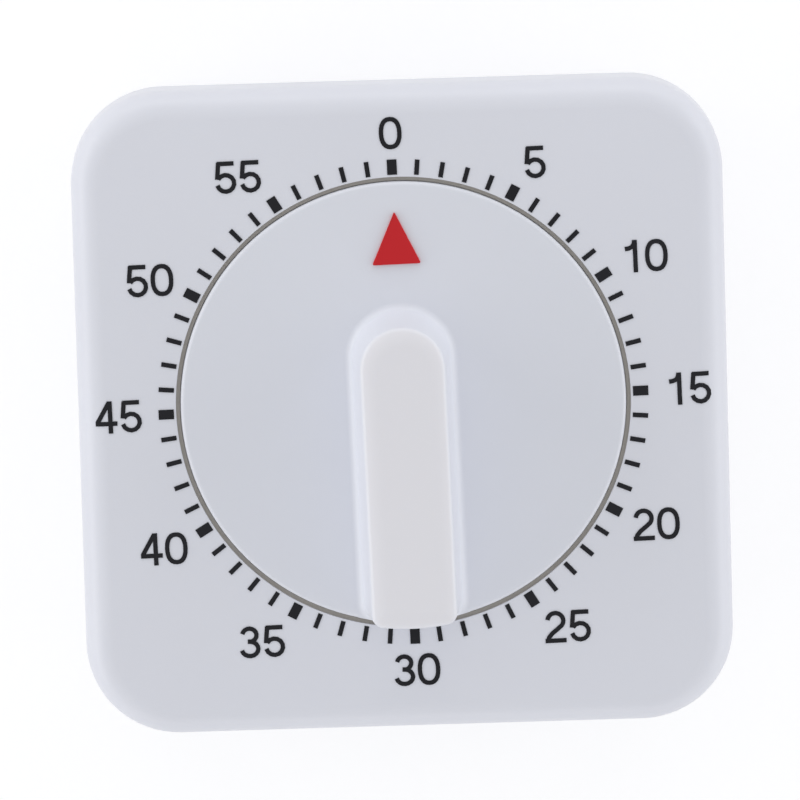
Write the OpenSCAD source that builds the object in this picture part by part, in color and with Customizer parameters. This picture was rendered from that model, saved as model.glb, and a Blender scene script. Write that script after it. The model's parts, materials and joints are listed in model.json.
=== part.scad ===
// Sixty minute clockwork timer: square case, flush dial with a finger grip, gear train, escapement and bell.
// Millimetres. The timer lies on its back: Z out through the dial, Y towards the zero mark.
// The dial reads zero as drawn.

/* [Case] */
// Outer width and height of the square case
case_w = 70; // [68:0.5:74]
// Radius of the case corners, seen from the front
case_corner = 10; // [8:0.5:12]
// Rounding of the front edge
front_round = 3; // [1.5:0.1:3.5]
// Depth of the full-width rim of the front housing
rim_depth = 7; // [5:0.25:8]
// Wall of both mouldings
wall = 2; // [1.6:0.1:2.4]
// Step from the rim in to the rear case
rear_step = 1.2; // [0.8:0.1:1.4]
// Slope of the rear case walls, degrees
rear_taper = 8; // [4:0.5:9]
// Rounding of the rear edge
rear_round = 1.5; // [0.5:0.25:2.5]
// Thickness of the rear wall
rear_t = 2; // [1.6:0.1:2.6]
// Height of the tongue on the rear case inside the rim
tongue_h = 2; // [1:0.25:2.5]
// Gap round the tongue
tongue_gap = 0.1; // [0.05:0.01:0.2]
// Dial axis above the middle of the case
dial_rise = 0.8; // [0:0.1:1.5]

/* [Sound slots] */
// Number of slots in each of the two rows
slot_count = 6; // [3:1:7]
// Width of a slot
slot_w = 1.8; // [1:0.1:2.4]
// Length of a slot
slot_len = 12; // [6:0.5:16]
// Pitch of the slots
slot_pitch = 4.6; // [3.4:0.1:5.2]

/* [Dial] */
// Running gap between dial and well, radial
dial_gap = 0.12; // [0.08:0.01:0.3]
// Width of the step round the mouth of the well
lip_w = 0.37; // [0.2:0.01:0.6]
// Depth of the step round the mouth of the well
lip_depth = 0.45; // [0.2:0.05:0.8]
// Thickness of the dial disc
dial_t = 2.6; // [2:0.1:3.2]
// Height of the dial above the case face
dial_proud = 0.2; // [0:0.05:0.6]
// Rounding of the dial rim
dial_round = 0.4; // [0.2:0.05:0.6]
// Free height between dial and well floor
dial_lift = 1; // [0.8:0.05:1.4]
// Thickness of the well floor
well_t = 1.6; // [1.2:0.1:2]
// Wall round the well
well_wall = 1.5; // [1:0.1:2]
// Outer radius of the dial hub
hub_r = 4.2; // [3.6:0.1:4.8]
// Gap round the hub in the well floor
hub_gap = 0.1; // [0.05:0.01:0.2]
// Gap between the end of the hub and the release cam
hub_end_gap = 0.2; // [0.1:0.05:0.3]

/* [Grip] */
// Height of the grip above the dial
grip_h = 9.3; // [7:0.1:11]
// Width of the flat top of the grip, edge rounding included
grip_top_w = 9; // [7.6:0.1:10]
// Slope of the grip flanks, degrees
grip_draft = 5; // [2:0.5:6]
// Rounding of the grip's top edge
grip_round = 0.7; // [0.6:0.05:1.2]
// Fillet between grip and dial
grip_fillet = 0.9; // [0.3:0.05:1.2]
// Centre of the round end above the dial axis
grip_centre = 4.85; // [3:0.05:6]
// Wall left round the core of the grip
grip_wall = 1.6; // [1.4:0.1:2]
// Thickness left over the core of the grip
grip_roof = 2; // [1.4:0.1:3]

/* [Pointer] */
// Distance of the tip of the pointer from the dial rim
pointer_inset = 3.2; // [2:0.1:4.5]
// Length of the pointer
pointer_len = 5.7; // [4.5:0.1:6.5]
// Width of the base of the pointer
pointer_w = 5.25; // [4:0.05:6.5]
// Depth of the pocket for the pointer
pointer_depth = 0.5; // [0.3:0.05:0.9]
// Height of the pointer above the dial
pointer_proud = 0.05; // [0.02:0.01:0.2]

/* [Scale] */
// Gap from the mouth of the well to the minute marks
mark_gap = 0.24; // [0.1:0.02:0.6]
// Length of the minute marks
mark_len = 1.65; // [1.2:0.05:2]
// Width of a minute mark
minor_w = 0.5; // [0.3:0.05:0.7]
// Width of a five minute mark
major_w = 1.05; // [0.7:0.05:1.4]
// Thickness of the print
ink_t = 0.05; // [0.02:0.01:0.1]
// Height of the numerals
digit_h = 3.5; // [2.8:0.1:3.6]
// Stroke of the numerals
digit_stroke = 0.48; // [0.4:0.02:0.6]
// Pitch of the digits in a numeral
digit_pitch = 2.65; // [2.4:0.05:2.8]
// Gap from the minute marks to the numerals 15 and 45
label_gap_x = 1.75; // [1.4:0.01:2.2]
// Distance of the numerals 15 and 45 from the edge of the case
label_edge = 1.8; // [1.4:0.1:2.4]
// Gap from the minute marks to the numerals 0 and 30
label_gap_y = 1.1; // [0.8:0.05:1.6]
// Extra sideways shift of the numerals 25, 35 and 55
label_push = 1.2; // [0:0.1:1.6]
// Turn of the printed scale and dial in the case, anticlockwise, degrees
print_turn = 1.2; // [0:0.1:2]

/* [Dial stop] */
// Distance of the stop under the dial from the dial rim
stop_inset = 4; // [2.5:0.25:6]
// Width of the lug and of the rib it meets
stop_w = 0.8; // [0.6:0.05:0.9]
// Length of the lug and of the rib along the radius
stop_len = 2; // [1.5:0.1:3]
// Angle not reached by the dial, degrees
stop_angle = 6; // [6:0.5:9]
// Gap above the rib and below the lug
stop_gap = 0.25; // [0.15:0.05:0.3]

/* [Plates] */
// Distance of the plate edges inside the case screw axes
plate_inset = 2.5; // [2.2:0.1:3]
// Radius of the plate corners
plate_corner = 3; // [2:0.25:4]
// Thickness of the plates
plate_t = 1; // [0.8:0.05:1.2]
// Distance of the pillars inside the plate edges
pillar_inset = 2.2; // [2:0.1:2.6]
// Radius of the pillars
pillar_r = 1.5; // [1.2:0.1:1.8]
// Radius of the riveted ends of the pillars
rivet_r = 0.9; // [0.7:0.05:1]
// Radius of the plate ears and housing bosses
ear_r = 3; // [2.6:0.1:3.2]

/* [Screws] */
// Place of the case screws, from the middle of the case corner arc
post_out = 0.5; // [0:0.1:0.8]
// Radius of the case screw posts
post_r = 3.2; // [3:0.1:3.4]
// Radius of the case screw heads
case_head_r = 2.1; // [1.9:0.05:2.2]
// Height of the case screw heads
case_head_h = 1.6; // [1.2:0.1:2]
// Radius of the case screw shanks
case_shank_r = 1.2; // [1:0.05:1.3]
// Depth of the wells for the case screw heads
head_well = 4; // [3:0.25:6]
// Reach of the case screws into the housing
case_bite = 4; // [3:0.25:4.5]
// Radius of the small screw heads
small_head_r = 2; // [1.6:0.05:2.2]
// Height of the small screw heads
small_head_h = 1.2; // [0.8:0.1:1.4]
// Radius of the small screw shanks
small_shank_r = 1; // [0.8:0.05:1.1]
// Reach of the small screws into the plastic
small_bite = 2.4; // [1.8:0.1:2.6]
// Radial gap of a screw in its clearance hole
screw_gap = 0.2; // [0.1:0.05:0.3]
// Radial gap of a screw in the hole it cuts
thread_gap = 0.02; // [0.01:0.01:0.05]
// Width of the cross slots
cross_w = 0.6; // [0.4:0.05:0.7]
// Depth of the cross slots
cross_depth = 0.6; // [0.4:0.05:0.7]

/* [Arbors] */
// Radius of the main arbor between the plates
main_r = 2.2; // [2:0.05:2.4]
// Radius of the main arbor in the front plate and in the dial
shank_r = 1.8; // [1.6:0.05:1.9]
// Distance of the flat on the main arbor from its axis
shank_flat = 1.3; // [1.1:0.05:1.4]
// Reach of the main arbor into the dial
shank_reach = 6; // [4:0.25:6.5]
// Radius of the rear pivot of the main arbor
main_pivot_r = 1.2; // [1:0.05:1.5]
// Radius of the collar under the main wheel
collar_r = 4; // [3:0.25:5]
// Thickness of the collar under the main wheel
collar_t = 0.8; // [0.5:0.05:1]
// Radius of the small arbors
arbor_r = 0.75; // [0.65:0.05:0.8]
// Radius of the pivots of the small arbors
pivot_r = 0.5; // [0.4:0.05:0.6]
// Running gap of all pivots, radial
pivot_gap = 0.05; // [0.02:0.01:0.08]
// End float of the arbors between the plates
end_float = 0.15; // [0.05:0.05:0.2]

/* [Gear train] */
// Teeth of the main wheel
main_teeth = 60; // [58:1:62]
// Teeth of the second pinion
second_pinion = 10; // [10:1:11]
// Teeth of the second wheel
second_teeth = 50; // [48:1:51]
// Teeth of the third pinion
third_pinion = 10; // [10:1:11]
// Teeth of the third wheel
third_teeth = 64; // [60:1:65]
// Teeth of the escape pinion
escape_pinion = 8; // [8:1:9]
// Teeth of the strike pinion
strike_pinion = 10; // [10:1:11]
// Gap from the second wheel to the wall of the rear case
train_gap = 5.8; // [5.2:0.1:6.4]
// Module of the second wheel in modules of the main wheel
second_step = 0.8; // [0.76:0.01:0.82]
// Module of the third wheel in modules of the main wheel
third_step = 0.62; // [0.58:0.01:0.64]
// Direction of the second arbor from the main arbor, degrees
second_dir = 180; // [176:1:182]
// Direction of the third arbor from the second arbor, degrees
third_dir = 280; // [276:1:282]
// Direction of the escape arbor from the third arbor, degrees
escape_dir = 335; // [331:1:336]
// Thickness of the main wheel
main_t = 0.8; // [0.6:0.05:1]
// Thickness of the second wheel
second_t = 0.6; // [0.5:0.05:0.8]
// Thickness of the third wheel
third_t = 0.6; // [0.5:0.05:0.8]
// Axial gap between wheels
level_gap = 0.5; // [0.4:0.05:0.7]
// Length of a pinion beyond its wheel at each end
pinion_over = 0.2; // [0.1:0.05:0.3]
// Pressure angle, degrees
pressure = 25; // [22:1:26]
// Tooth height above the pitch circle, in modules
addendum = 0.7; // [0.6:0.05:0.75]
// Tooth depth below the pitch circle, in modules
dedendum = 1.25; // [1.1:0.05:1.3]
// Share of the tooth width left off for backlash
tooth_thin = 0.12; // [0.1:0.01:0.16]

/* [Mainspring] */
// Height of the spring strip
spring_h = 3; // [2.5:0.1:4]
// Thickness of the spring strip
strip_t = 0.3; // [0.2:0.02:0.36]
// Gap from the wound spring to the escape wheel
spring_side = 0.6; // [0.4:0.05:1.5]
// Turns of the spring
spring_turns = 7; // [5:1:8]
// Gap between the spring and what holds its ends
spring_gap = 0.06; // [0.04:0.01:0.1]
// Radius of the stud for the outer end
stud_r = 0.7; // [0.5:0.05:0.8]
// Height of the dished clutch spring
clutch_h = 0.5; // [0.4:0.05:0.6]
// Strip thickness of the clutch spring
clutch_t = 0.25; // [0.2:0.01:0.3]
// Outer radius of the clutch spring
clutch_r = 5; // [4:0.25:6]

/* [Escapement] */
// Teeth of the escape wheel
escape_teeth = 15; // [15:1:16]
// Radius of the escape wheel
escape_r = 5; // [4.6:0.1:5.1]
// Tooth depth of the escape wheel
escape_tooth = 1.2; // [1:0.1:1.4]
// Thickness of the escape and strike wheels
star_t = 0.8; // [0.6:0.05:1]
// Direction of the pallet arbor from the escape arbor, degrees
pallet_dir = 0; // [-2:1:2]
// Radius of the pins
pin_r = 0.2; // [0.16:0.01:0.22]
// Gap from the pins to the wheel tips at rest
pin_gap = 0.12; // [0.1:0.01:0.16]
// Thickness of the verge plates
verge_t = 0.6; // [0.4:0.05:0.8]
// Width of the verge arms
verge_w = 0.9; // [0.7:0.05:1]
// Radius of the verge hubs
verge_hub_r = 1.4; // [1.2:0.1:1.5]
// Axial gap between a verge plate and its wheel
verge_gap = 0.2; // [0.15:0.05:0.3]

/* [Strike] */
// Direction of the strike arbor from the main arbor, degrees
strike_dir = 60; // [56:1:62]
// Teeth of the strike wheel
strike_teeth = 10; // [10:1:11]
// Radius of the strike wheel
strike_r = 4; // [3.8:0.1:4.1]
// Tooth depth of the strike wheel
strike_tooth = 1; // [0.8:0.1:1.2]
// Swing of the hammer each way, degrees
hammer_swing = 8; // [6:0.5:8]
// Radius of the hammer arbor where it passes the plates
hammer_pivot_r = 0.7; // [0.6:0.05:0.72]
// Thickness of the hammer arm
hammer_t = 0.7; // [0.5:0.05:0.9]
// Width of the hammer and lock arms
arm_w = 1.6; // [1.2:0.1:1.8]
// Length of the hammer arm
hammer_len = 8.1; // [7.6:0.1:8.6]
// Radius of the hammer head
head_r = 1.6; // [1.4:0.1:1.8]
// Gap from the hammer head to the bell at full swing
ring_gap = 0.2; // [0.1:0.05:0.4]
// Gap each side of the hammer arm
arm_gap = 0.25; // [0.2:0.05:0.4]

/* [Release] */
// Distance from the hammer arbor to the tip of the lock arm
lock_len = 11.3; // [11:0.1:12]
// Thickness of the release cam and lock arm
cam_t = 0.8; // [0.6:0.05:1]
// Gap between the cam and the front plate, and between the cam and the well
cam_gap = 0.3; // [0.2:0.05:0.4]
// Gap between the cam and the finger of the lock arm
finger_gap = 0.25; // [0.2:0.05:0.3]
// Radius of the finger of the lock arm
finger_r = 0.6; // [0.5:0.05:0.7]
// Length of the finger
finger_len = 2.2; // [2.1:0.1:2.5]
// Free space round the finger in the notch
notch_gap = 0.5; // [0.4:0.05:0.7]

/* [Bell] */
// Height of the bell
bell_h = 3.8; // [3.4:0.1:4.2]
// Thickness of the bell
bell_t = 0.8; // [0.6:0.05:1]
// Rounding of the bell, outside
bell_round = 1.6; // [1.2:0.1:2]
// Height of the boss under the bell
boss_h = 1.2; // [0.8:0.1:1.6]
// Radius of the boss under the bell
boss_r = 3.2; // [2.6:0.1:3.6]

/* [Hidden] */
$fn = 96;
clear = 1;
flank_steps = 4;
spiral_step = 15;
arc_steps = 12;
star_root = 0.25;
star_tip = 0.02;
rim_mods = 2;
hub_mods = 2;
spoke_mods = 3;
pallet_span = 2.5;
strike_span = 1.5;
digit_half = 0.35;
oval_power = 0.86;

half = case_w / 2;
corner_at = half - case_corner;
label_w = digit_pitch + 2 * digit_half * digit_h;
mark_r = half - label_edge - label_w - label_gap_x - mark_len;
lip_r = mark_r - mark_gap;
well_r = lip_r - lip_w;
dial_r = well_r - dial_gap;
pointer_tip = dial_r - pointer_inset;
stop_r = dial_r - stop_inset;
label_x = mark_r + mark_len + label_gap_x + label_w / 2;
label_y = mark_r + mark_len + label_gap_y + digit_h / 2;

bell_z = rear_t + boss_h;
hammer_z = bell_z + bell_h + arm_gap;
rear_plate_z = hammer_z + hammer_t + arm_gap;
gap_z = rear_plate_z + plate_t;
third_z = gap_z + level_gap;
second_z = third_z + third_t + level_gap;
main_z = second_z + second_t + level_gap;
clutch_z = main_z + main_t;
spring_z = clutch_z + clutch_h + level_gap;
front_plate_z = spring_z + spring_h + level_gap;
front_top_z = front_plate_z + plate_t;
cam_z = front_top_z + cam_gap;
well_under_z = cam_z + cam_t + cam_gap;
well_z = well_under_z + well_t;
dial_under_z = well_z + dial_lift;
dial_z = dial_under_z + dial_t;
face_z = dial_z - dial_proud;
inner_z = face_z - wall;
parting_z = face_z - rim_depth;
star_z = spring_z + level_gap;
verge_z = star_z + star_t + verge_gap;
grip_z = dial_z + grip_h;
post_at = corner_at + post_out;
plate_half = post_at - plate_inset;
pillar_at = plate_half - pillar_inset;
ear_at = well_r + well_wall + small_shank_r + thread_gap;

rear_reach = case_corner - rear_step;
rear_foot = rear_reach - parting_z * tan(rear_taper);
rear_inset = wall / cos(rear_taper);
rear_round_x = rear_foot + rear_round * (sin(rear_taper) - 1) / cos(rear_taper);

second_room = corner_at + rear_foot + second_z * tan(rear_taper) - rear_inset - train_gap;
main_mod = second_room / ((main_teeth + second_pinion) / 2 + second_step * (second_teeth / 2 + addendum));
second_mod = second_step * main_mod;
third_mod = third_step * main_mod;
second_at = polar(main_mod * (main_teeth + second_pinion) / 2, second_dir);
third_at = second_at + polar(second_mod * (second_teeth + third_pinion) / 2, third_dir);
escape_at = third_at + polar(third_mod * (third_teeth + escape_pinion) / 2, escape_dir);
strike_at = polar(main_mod * (main_teeth + strike_pinion) / 2, strike_dir);

second_turn = mesh_turn(second_dir, 0, main_teeth, second_pinion);
third_turn = mesh_turn(third_dir, second_turn, second_teeth, third_pinion);
escape_turn = mesh_turn(escape_dir, third_turn, third_teeth, escape_pinion);
strike_turn = mesh_turn(strike_dir, 0, main_teeth, strike_pinion);

pallet_half = pallet_span * 180 / escape_teeth;
pallet_reach = escape_r + pin_r + pin_gap;
pallet_at = escape_at + polar(pallet_reach / cos(pallet_half), pallet_dir);
strike_half = strike_span * 180 / strike_teeth;
strike_reach = strike_r + pin_r + pin_gap;
hammer_at = strike_at + [strike_reach / cos(strike_half), 0];

hammer_far = norm(hammer_at);
hammer_dir = atan2(hammer_at[1], hammer_at[0]);
bell_r = sqrt(hammer_far * hammer_far - hammer_len * hammer_len) - head_r - ring_gap;
hammer_turn = hammer_dir + 180 + acos(hammer_len / hammer_far) + hammer_swing;

finger_reach = sqrt(hammer_far * hammer_far - lock_len * lock_len);
finger_dir = hammer_dir - asin(lock_len / hammer_far);
cam_r = finger_reach - finger_gap - finger_r;
notch_depth = lock_len * sin(hammer_swing) - finger_gap + notch_gap;
notch_half = asin((finger_r + notch_gap) / (cam_r - notch_depth));

spring_r = norm(escape_at) - escape_r - spring_side;
stud_at = [spring_r + spring_gap + stud_r, 0];
ink = [0.16, 0.16, 0.19];
white = [0.93, 0.93, 0.94];
steel = [0.72, 0.73, 0.75];
brass = [0.80, 0.66, 0.36];
acetal = [0.90, 0.88, 0.80];

function polar(r, a) = [r * cos(a), r * sin(a)];
function involute(a) = tan(a) * 180 / PI - a;

// Half the angle of a tooth at radius r.
function tooth_half(r, pitch_r, teeth) =
    90 / teeth * (1 - tooth_thin) + involute(pressure) - involute(acos(min(1, pitch_r * cos(pressure) / r)));

// Outline of a gear with a tooth centred on angle 0.
function gear_outline(mod, teeth) =
    let (pitch_r = mod * teeth / 2)
    let (root_r = pitch_r - dedendum * mod)
    let (step = (addendum + dedendum) * mod / flank_steps)
    [
        for (i = [0 : teeth - 1])
            for (j = [0 : 2 * flank_steps + 1])
                let (rising = j <= flank_steps)
                let (r = root_r + step * (rising ? j : 2 * flank_steps + 1 - j))
                let (h = tooth_half(r, pitch_r, teeth))
                polar(r, 360 * i / teeth + (rising ? -h : h))
    ];

// Turn of a pinion that meshes with a wheel whose own turn is given.
function mesh_turn(dir, wheel_turn, wheel_teeth, pinion_teeth) =
    dir + 180 - 180 / pinion_teeth + (dir - wheel_turn) * wheel_teeth / pinion_teeth;

// Outline of a pointed wheel with a tip on angle 0.
function star_outline(r, depth, teeth) =
    [
        for (i = [0 : teeth - 1])
            for (p = [[-star_root, r - depth], [-star_tip, r], [star_tip, r], [star_root, r - depth]])
                polar(p[1], 360 * (i + p[0]) / teeth)
    ];

// Point of an ellipse, points along an arc of one, and points round a slightly squared oval.
function ellipse_point(at, rx, ry, a) = at + [rx * cos(a), ry * sin(a)];
function squared(v) = sign(v) * pow(abs(v), oval_power);
function arc(at, rx, ry, from, to) =
    [for (i = [0 : arc_steps]) ellipse_point(at, rx, ry, from + (to - from) * i / arc_steps)];
function oval(at, rx, ry) =
    [
        for (i = [0 : 2 * arc_steps - 1])
            let (a = 180 * i / arc_steps)
            at + [rx * squared(cos(a)), ry * squared(sin(a))]
    ];

// Unit normal of a path at point i.
function path_normal(path, i) =
    let (a = path[max(0, i - 1)])
    let (b = path[min(len(path) - 1, i + 1)])
    [a[1] - b[1], b[0] - a[0]] / norm(b - a);

// Spiral of the mainspring at half a strip inside or outside its middle line.
function spiral(side) =
    let (from = main_r + spring_gap + strip_t / 2)
    let (to = spring_r - strip_t / 2)
    let (count = spring_turns * 360 / spiral_step)
    [for (i = [0 : count]) polar(from + (to - from) * i / count + side * strip_t / 2, i * spiral_step)];

module on_axis() {
    translate([0, dial_rise, 0])
        children();
}

module on_print() {
    on_axis()
        rotate([0, 0, print_turn])
            children();
}

module rod(r, from, to) {
    translate([0, 0, from])
        cylinder(r = r, h = to - from);
}

module slab(from, to) {
    translate([0, 0, from])
        linear_extrude(to - from)
            children();
}

module at_corners(d) {
    for (x = [-d, d], y = [-d, d])
        translate([x, y, 0])
            children();
}

module at_ears() {
    for (a = [0 : 90 : 270])
        rotate([0, 0, a])
            translate([ear_at, 0, 0])
                children();
}

// Square outline with round corners whose centres stand at distance core from the middle.
module round_square(core, r) {
    square([2 * (core + r), 2 * core], center = true);
    square([2 * core, 2 * (core + r)], center = true);
    at_corners(core)
        circle(r = r);
}

// Block with round corners: the child is its edge profile, measured out from the corner centres.
module swept_block(core, from, to) {
    translate([-core, -core, from])
        cube([2 * core, 2 * core, to - from]);
    for (a = [0 : 90 : 270])
        rotate([0, 0, a])
            translate([core, core, 0]) {
                rotate_extrude(angle = 90)
                    children();
                rotate([90, 0, 0])
                    linear_extrude(2 * core)
                        children();
            }
}

// Outside of the front housing, grown by a skin.
module front_block(skin) {
    edge = case_corner + skin;
    top = face_z + skin;
    bend = front_round + skin;
    swept_block(corner_at, parting_z, top) {
        polygon([[0, parting_z], [edge, parting_z], [edge, top - bend], [edge - bend, top], [0, top]]);
        translate([edge - bend, top - bend])
            circle(r = bend);
    }
}

module cross_slot(size) {
    for (a = [0, 90])
        rotate([0, 0, a])
            translate([-size, -cross_w / 2, 0])
                cube([2 * size, cross_w, cross_depth + clear]);
}

module bar(from, to, w) {
    along = to - from;
    translate(from)
        rotate([0, 0, atan2(along[1], along[0])])
            translate([0, -w / 2])
                square([norm(along), w]);
}

module stroke(path) {
    last = len(path) - 1;
    ink_half = digit_stroke / digit_h / 2;
    left = [for (i = [0 : last]) path[i] + ink_half * path_normal(path, i)];
    right = [for (i = [last : -1 : 0]) path[i] - ink_half * path_normal(path, i)];
    polygon(concat(left, right));
}

// Digits one unit tall, on the baseline, centred on the middle of their width.
module digit(d) {
    ink_half = digit_stroke / digit_h / 2;
    top = 1 - ink_half;
    if (d == 0) {
        difference() {
            polygon(oval([0, 0.5], digit_half, 0.5));
            polygon(oval([0, 0.5], digit_half - 2 * ink_half, 0.5 - 2 * ink_half));
        }
    }
    if (d == 1) {
        stroke([[0.11, 0], [0.11, 1]]);
        stroke([[-0.2, 0.73], [-0.08, 0.745], [0.02, 0.79], [0.075, 0.87], [0.1, 0.99]]);
    }
    if (d == 2) {
        stroke(concat(
            arc([0, 0.69], 0.245, top - 0.69, 172, -38),
            [[0.06, 0.43], [-0.12, 0.29], [-0.22, 0.17], [-0.255, 0.02]]
        ));
        stroke([[-0.33, ink_half], [0.32, ink_half]]);
    }
    if (d == 3) {
        stroke(concat(arc([0, 0.725], 0.22, top - 0.725, 168, -78), [[-0.06, 0.525]]));
        stroke(concat([[-0.06, 0.525]], arc([0, 0.295], 0.255, 0.295 - ink_half, 80, -170)));
    }
    if (d == 4) {
        stroke([[0.12, 0], [0.12, 1]]);
        stroke([[0.1, 0.97], [-0.285, 0.33]]);
        stroke([[-0.34, 0.3], [0.33, 0.3]]);
    }
    if (d == 5) {
        stroke([[-0.245, top], [0.27, top]]);
        stroke([[-0.2, 0.97], [-0.255, 0.45]]);
        stroke(arc([0, 0.325], 0.26, 0.325 - ink_half, 148, -168));
    }
}

// Wheel with a rim, four spokes and a hub, on a bore of radius r.
module spoked_wheel(mod, teeth, from, to, r) {
    rim_r = mod * (teeth / 2 - dedendum - rim_mods);
    slab(from, to)
        difference() {
            polygon(gear_outline(mod, teeth));
            circle(r = r);
            difference() {
                circle(r = rim_r);
                circle(r = r + arbor_r + hub_mods * mod);
                for (a = [45, 135])
                    rotate([0, 0, a])
                        square([2 * rim_r + clear, spoke_mods * mod], center = true);
            }
        }
}

// Arbor between the plates, with its pivots and a pinion for a wheel at height wheel_z.
module small_arbor(mod, teeth, wheel_z, wheel_t, turn) {
    rod(pivot_r, rear_plate_z, front_top_z);
    rod(arbor_r, gap_z + end_float, front_plate_z - end_float);
    rotate([0, 0, turn])
        slab(wheel_z - pinion_over, wheel_z + wheel_t + pinion_over)
            polygon(gear_outline(mod, teeth));
}

// Plate with two pins that straddle a wheel whose centre lies at distance d in direction dir.
module pin_verge(d, dir, wheel_reach, wheel_half, bore) {
    pins = [for (s = [-1, 1]) polar(d, dir) + polar(wheel_reach, dir + 180 + s * wheel_half)];
    difference() {
        slab(verge_z, verge_z + verge_t) {
            circle(r = verge_hub_r);
            for (p = pins) {
                bar([0, 0], p, verge_w);
                translate(p)
                    circle(r = verge_w / 2);
            }
        }
        rod(bore, verge_z - clear, verge_z + verge_t + clear);
    }
    for (p = pins)
        translate(p)
            rod(pin_r, star_z - verge_gap, verge_z);
}

module front_housing() {
    color(white)
        difference() {
            union() {
                difference() {
                    front_block(0);
                    slab(parting_z - clear, inner_z)
                        round_square(corner_at, case_corner - wall);
                }
                on_axis() {
                    rod(well_r + well_wall, well_under_z, inner_z + clear / 2);
                    at_ears()
                        rod(ear_r, front_top_z, inner_z + clear / 2);
                }
                at_corners(post_at)
                    rod(post_r, parting_z, inner_z + clear / 2);
            }
            on_axis() {
                difference() {
                    rod(well_r, well_z, face_z + clear);
                    rotate([0, 0, print_turn])
                        translate([stop_r - stop_len / 2, -stop_w / 2, well_z - clear])
                            cube([stop_len, stop_w, dial_lift - stop_gap + clear]);
                }
                rod(lip_r, face_z - lip_depth, face_z + clear);
                rod(hub_r + hub_gap, well_under_z - clear, well_z + clear);
                at_ears()
                    translate([0, 0, front_top_z])
                        rod(small_shank_r + thread_gap, -clear, small_bite + screw_gap);
            }
            at_corners(post_at)
                rod(case_shank_r + thread_gap, parting_z - clear, parting_z + case_bite + screw_gap);
        }
}

// Cutter for one slot with round ends through the rear wall.
module sound_slot() {
    run = slot_len - slot_w;
    slab(-clear, rear_t + clear) {
        square([slot_w, run], center = true);
        for (y = [-run / 2, run / 2])
            translate([0, y])
                circle(r = slot_w / 2);
    }
}

module rear_case() {
    slots_w = (slot_count - 1) * slot_pitch;
    color(white)
        difference() {
            union() {
                difference() {
                    union() {
                        swept_block(corner_at, 0, parting_z) {
                            polygon([
                                [0, 0], [rear_round_x, 0],
                                [rear_round_x, rear_round] + polar(rear_round, -rear_taper),
                                [rear_reach, parting_z], [0, parting_z]
                            ]);
                            translate([rear_round_x, rear_round])
                                circle(r = rear_round);
                        }
                        slab(parting_z - tongue_h, parting_z + tongue_h)
                            round_square(corner_at, case_corner - wall - tongue_gap);
                    }
                    swept_block(corner_at, rear_t, parting_z + tongue_h + clear)
                        polygon([
                            [0, rear_t], [rear_foot + rear_t * tan(rear_taper) - rear_inset, rear_t],
                            [rear_reach - rear_inset, parting_z],
                            [rear_reach - rear_inset, parting_z + tongue_h + clear],
                            [0, parting_z + tongue_h + clear]
                        ]);
                }
                at_corners(post_at)
                    rod(post_r, rear_t / 2, parting_z);
                on_axis()
                    rod(boss_r, rear_t / 2, bell_z);
            }
            at_corners(post_at) {
                rod(case_head_r + screw_gap, -clear, head_well);
                rod(case_shank_r + screw_gap, 0, parting_z + clear);
            }
            on_axis() {
                rod(small_shank_r + thread_gap, bell_z - small_bite - screw_gap, bell_z + clear);
                for (i = [0 : slot_count - 1], s = [-1, 1])
                    translate([i * slot_pitch - slots_w / 2, s * (boss_r + slot_w + slot_len / 2), 0])
                        sound_slot();
            }
        }
}

module case_screws() {
    color(steel)
        at_corners(post_at)
            difference() {
                union() {
                    rod(case_head_r, head_well - case_head_h, head_well);
                    rod(case_shank_r, head_well, parting_z + case_bite);
                }
                translate([0, 0, head_well - case_head_h - clear])
                    cross_slot(case_head_r - cross_w);
            }
}

module minute_marks() {
    color(ink)
        on_print()
            for (i = [0 : 59]) {
                w = i % 5 == 0 ? major_w : minor_w;
                rotate([0, 0, -6 * i])
                    translate([-w / 2, mark_r, face_z])
                        cube([w, mark_len, ink_t]);
            }
}

// The numerals lie on the face and follow the rounding of its edge.
module scale_numerals() {
    color(ink)
        intersection() {
            on_print()
                for (i = [0 : 11]) {
                    two = i > 1;
                    side = sin(30 * i);
                    push = two && abs(side) > 0.4 && abs(side) < 0.6 ? label_push * sign(side) : 0;
                    tens = floor(i / 2);
                    ones = i % 2 == 0 ? 0 : 5;
                    translate([label_x * side + push, label_y * cos(30 * i) - digit_h / 2, inner_z])
                        linear_extrude(face_z + ink_t - inner_z) {
                            translate([two ? digit_pitch / 2 : 0, 0])
                                scale(digit_h)
                                    digit(ones);
                            if (two)
                                translate([-digit_pitch / 2, 0])
                                    scale(digit_h)
                                        digit(tens);
                        }
                }
            difference() {
                front_block(ink_t);
                front_block(0);
            }
        }
}

// Half of the cross-section of the grip, out from its middle.
module grip_profile() {
    top_half = grip_top_w / 2;
    foot = top_half + grip_h * tan(grip_draft);
    tuck = (1 - sin(grip_draft)) / cos(grip_draft);
    round_at = [top_half - grip_round * tuck, grip_z - grip_round];
    fillet_at = [foot + grip_fillet * tuck, dial_z + grip_fillet];
    difference() {
        polygon([
            [0, dial_z - dial_t / 2], [fillet_at[0], dial_z - dial_t / 2], [fillet_at[0], dial_z],
            fillet_at - polar(grip_fillet, grip_draft), round_at + polar(grip_round, grip_draft),
            [round_at[0], grip_z], [0, grip_z]
        ]);
        translate(fillet_at)
            circle(r = grip_fillet);
    }
    translate(round_at)
        circle(r = grip_round);
}

module grip() {
    translate([0, grip_centre, 0]) {
        rotate_extrude(angle = 180)
            grip_profile();
        rotate([90, 0, 0])
            linear_extrude(2 * dial_r) {
                grip_profile();
                mirror([1, 0])
                    grip_profile();
            }
    }
}

// Solid that trims the grip to the rim of the dial.
module grip_limit() {
    rotate_extrude()
        polygon([
            [0, dial_under_z], [dial_r, dial_under_z], [dial_r, dial_z - dial_round],
            [dial_r - grip_h * tan(grip_draft), grip_z], [0, grip_z]
        ]);
}

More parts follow.
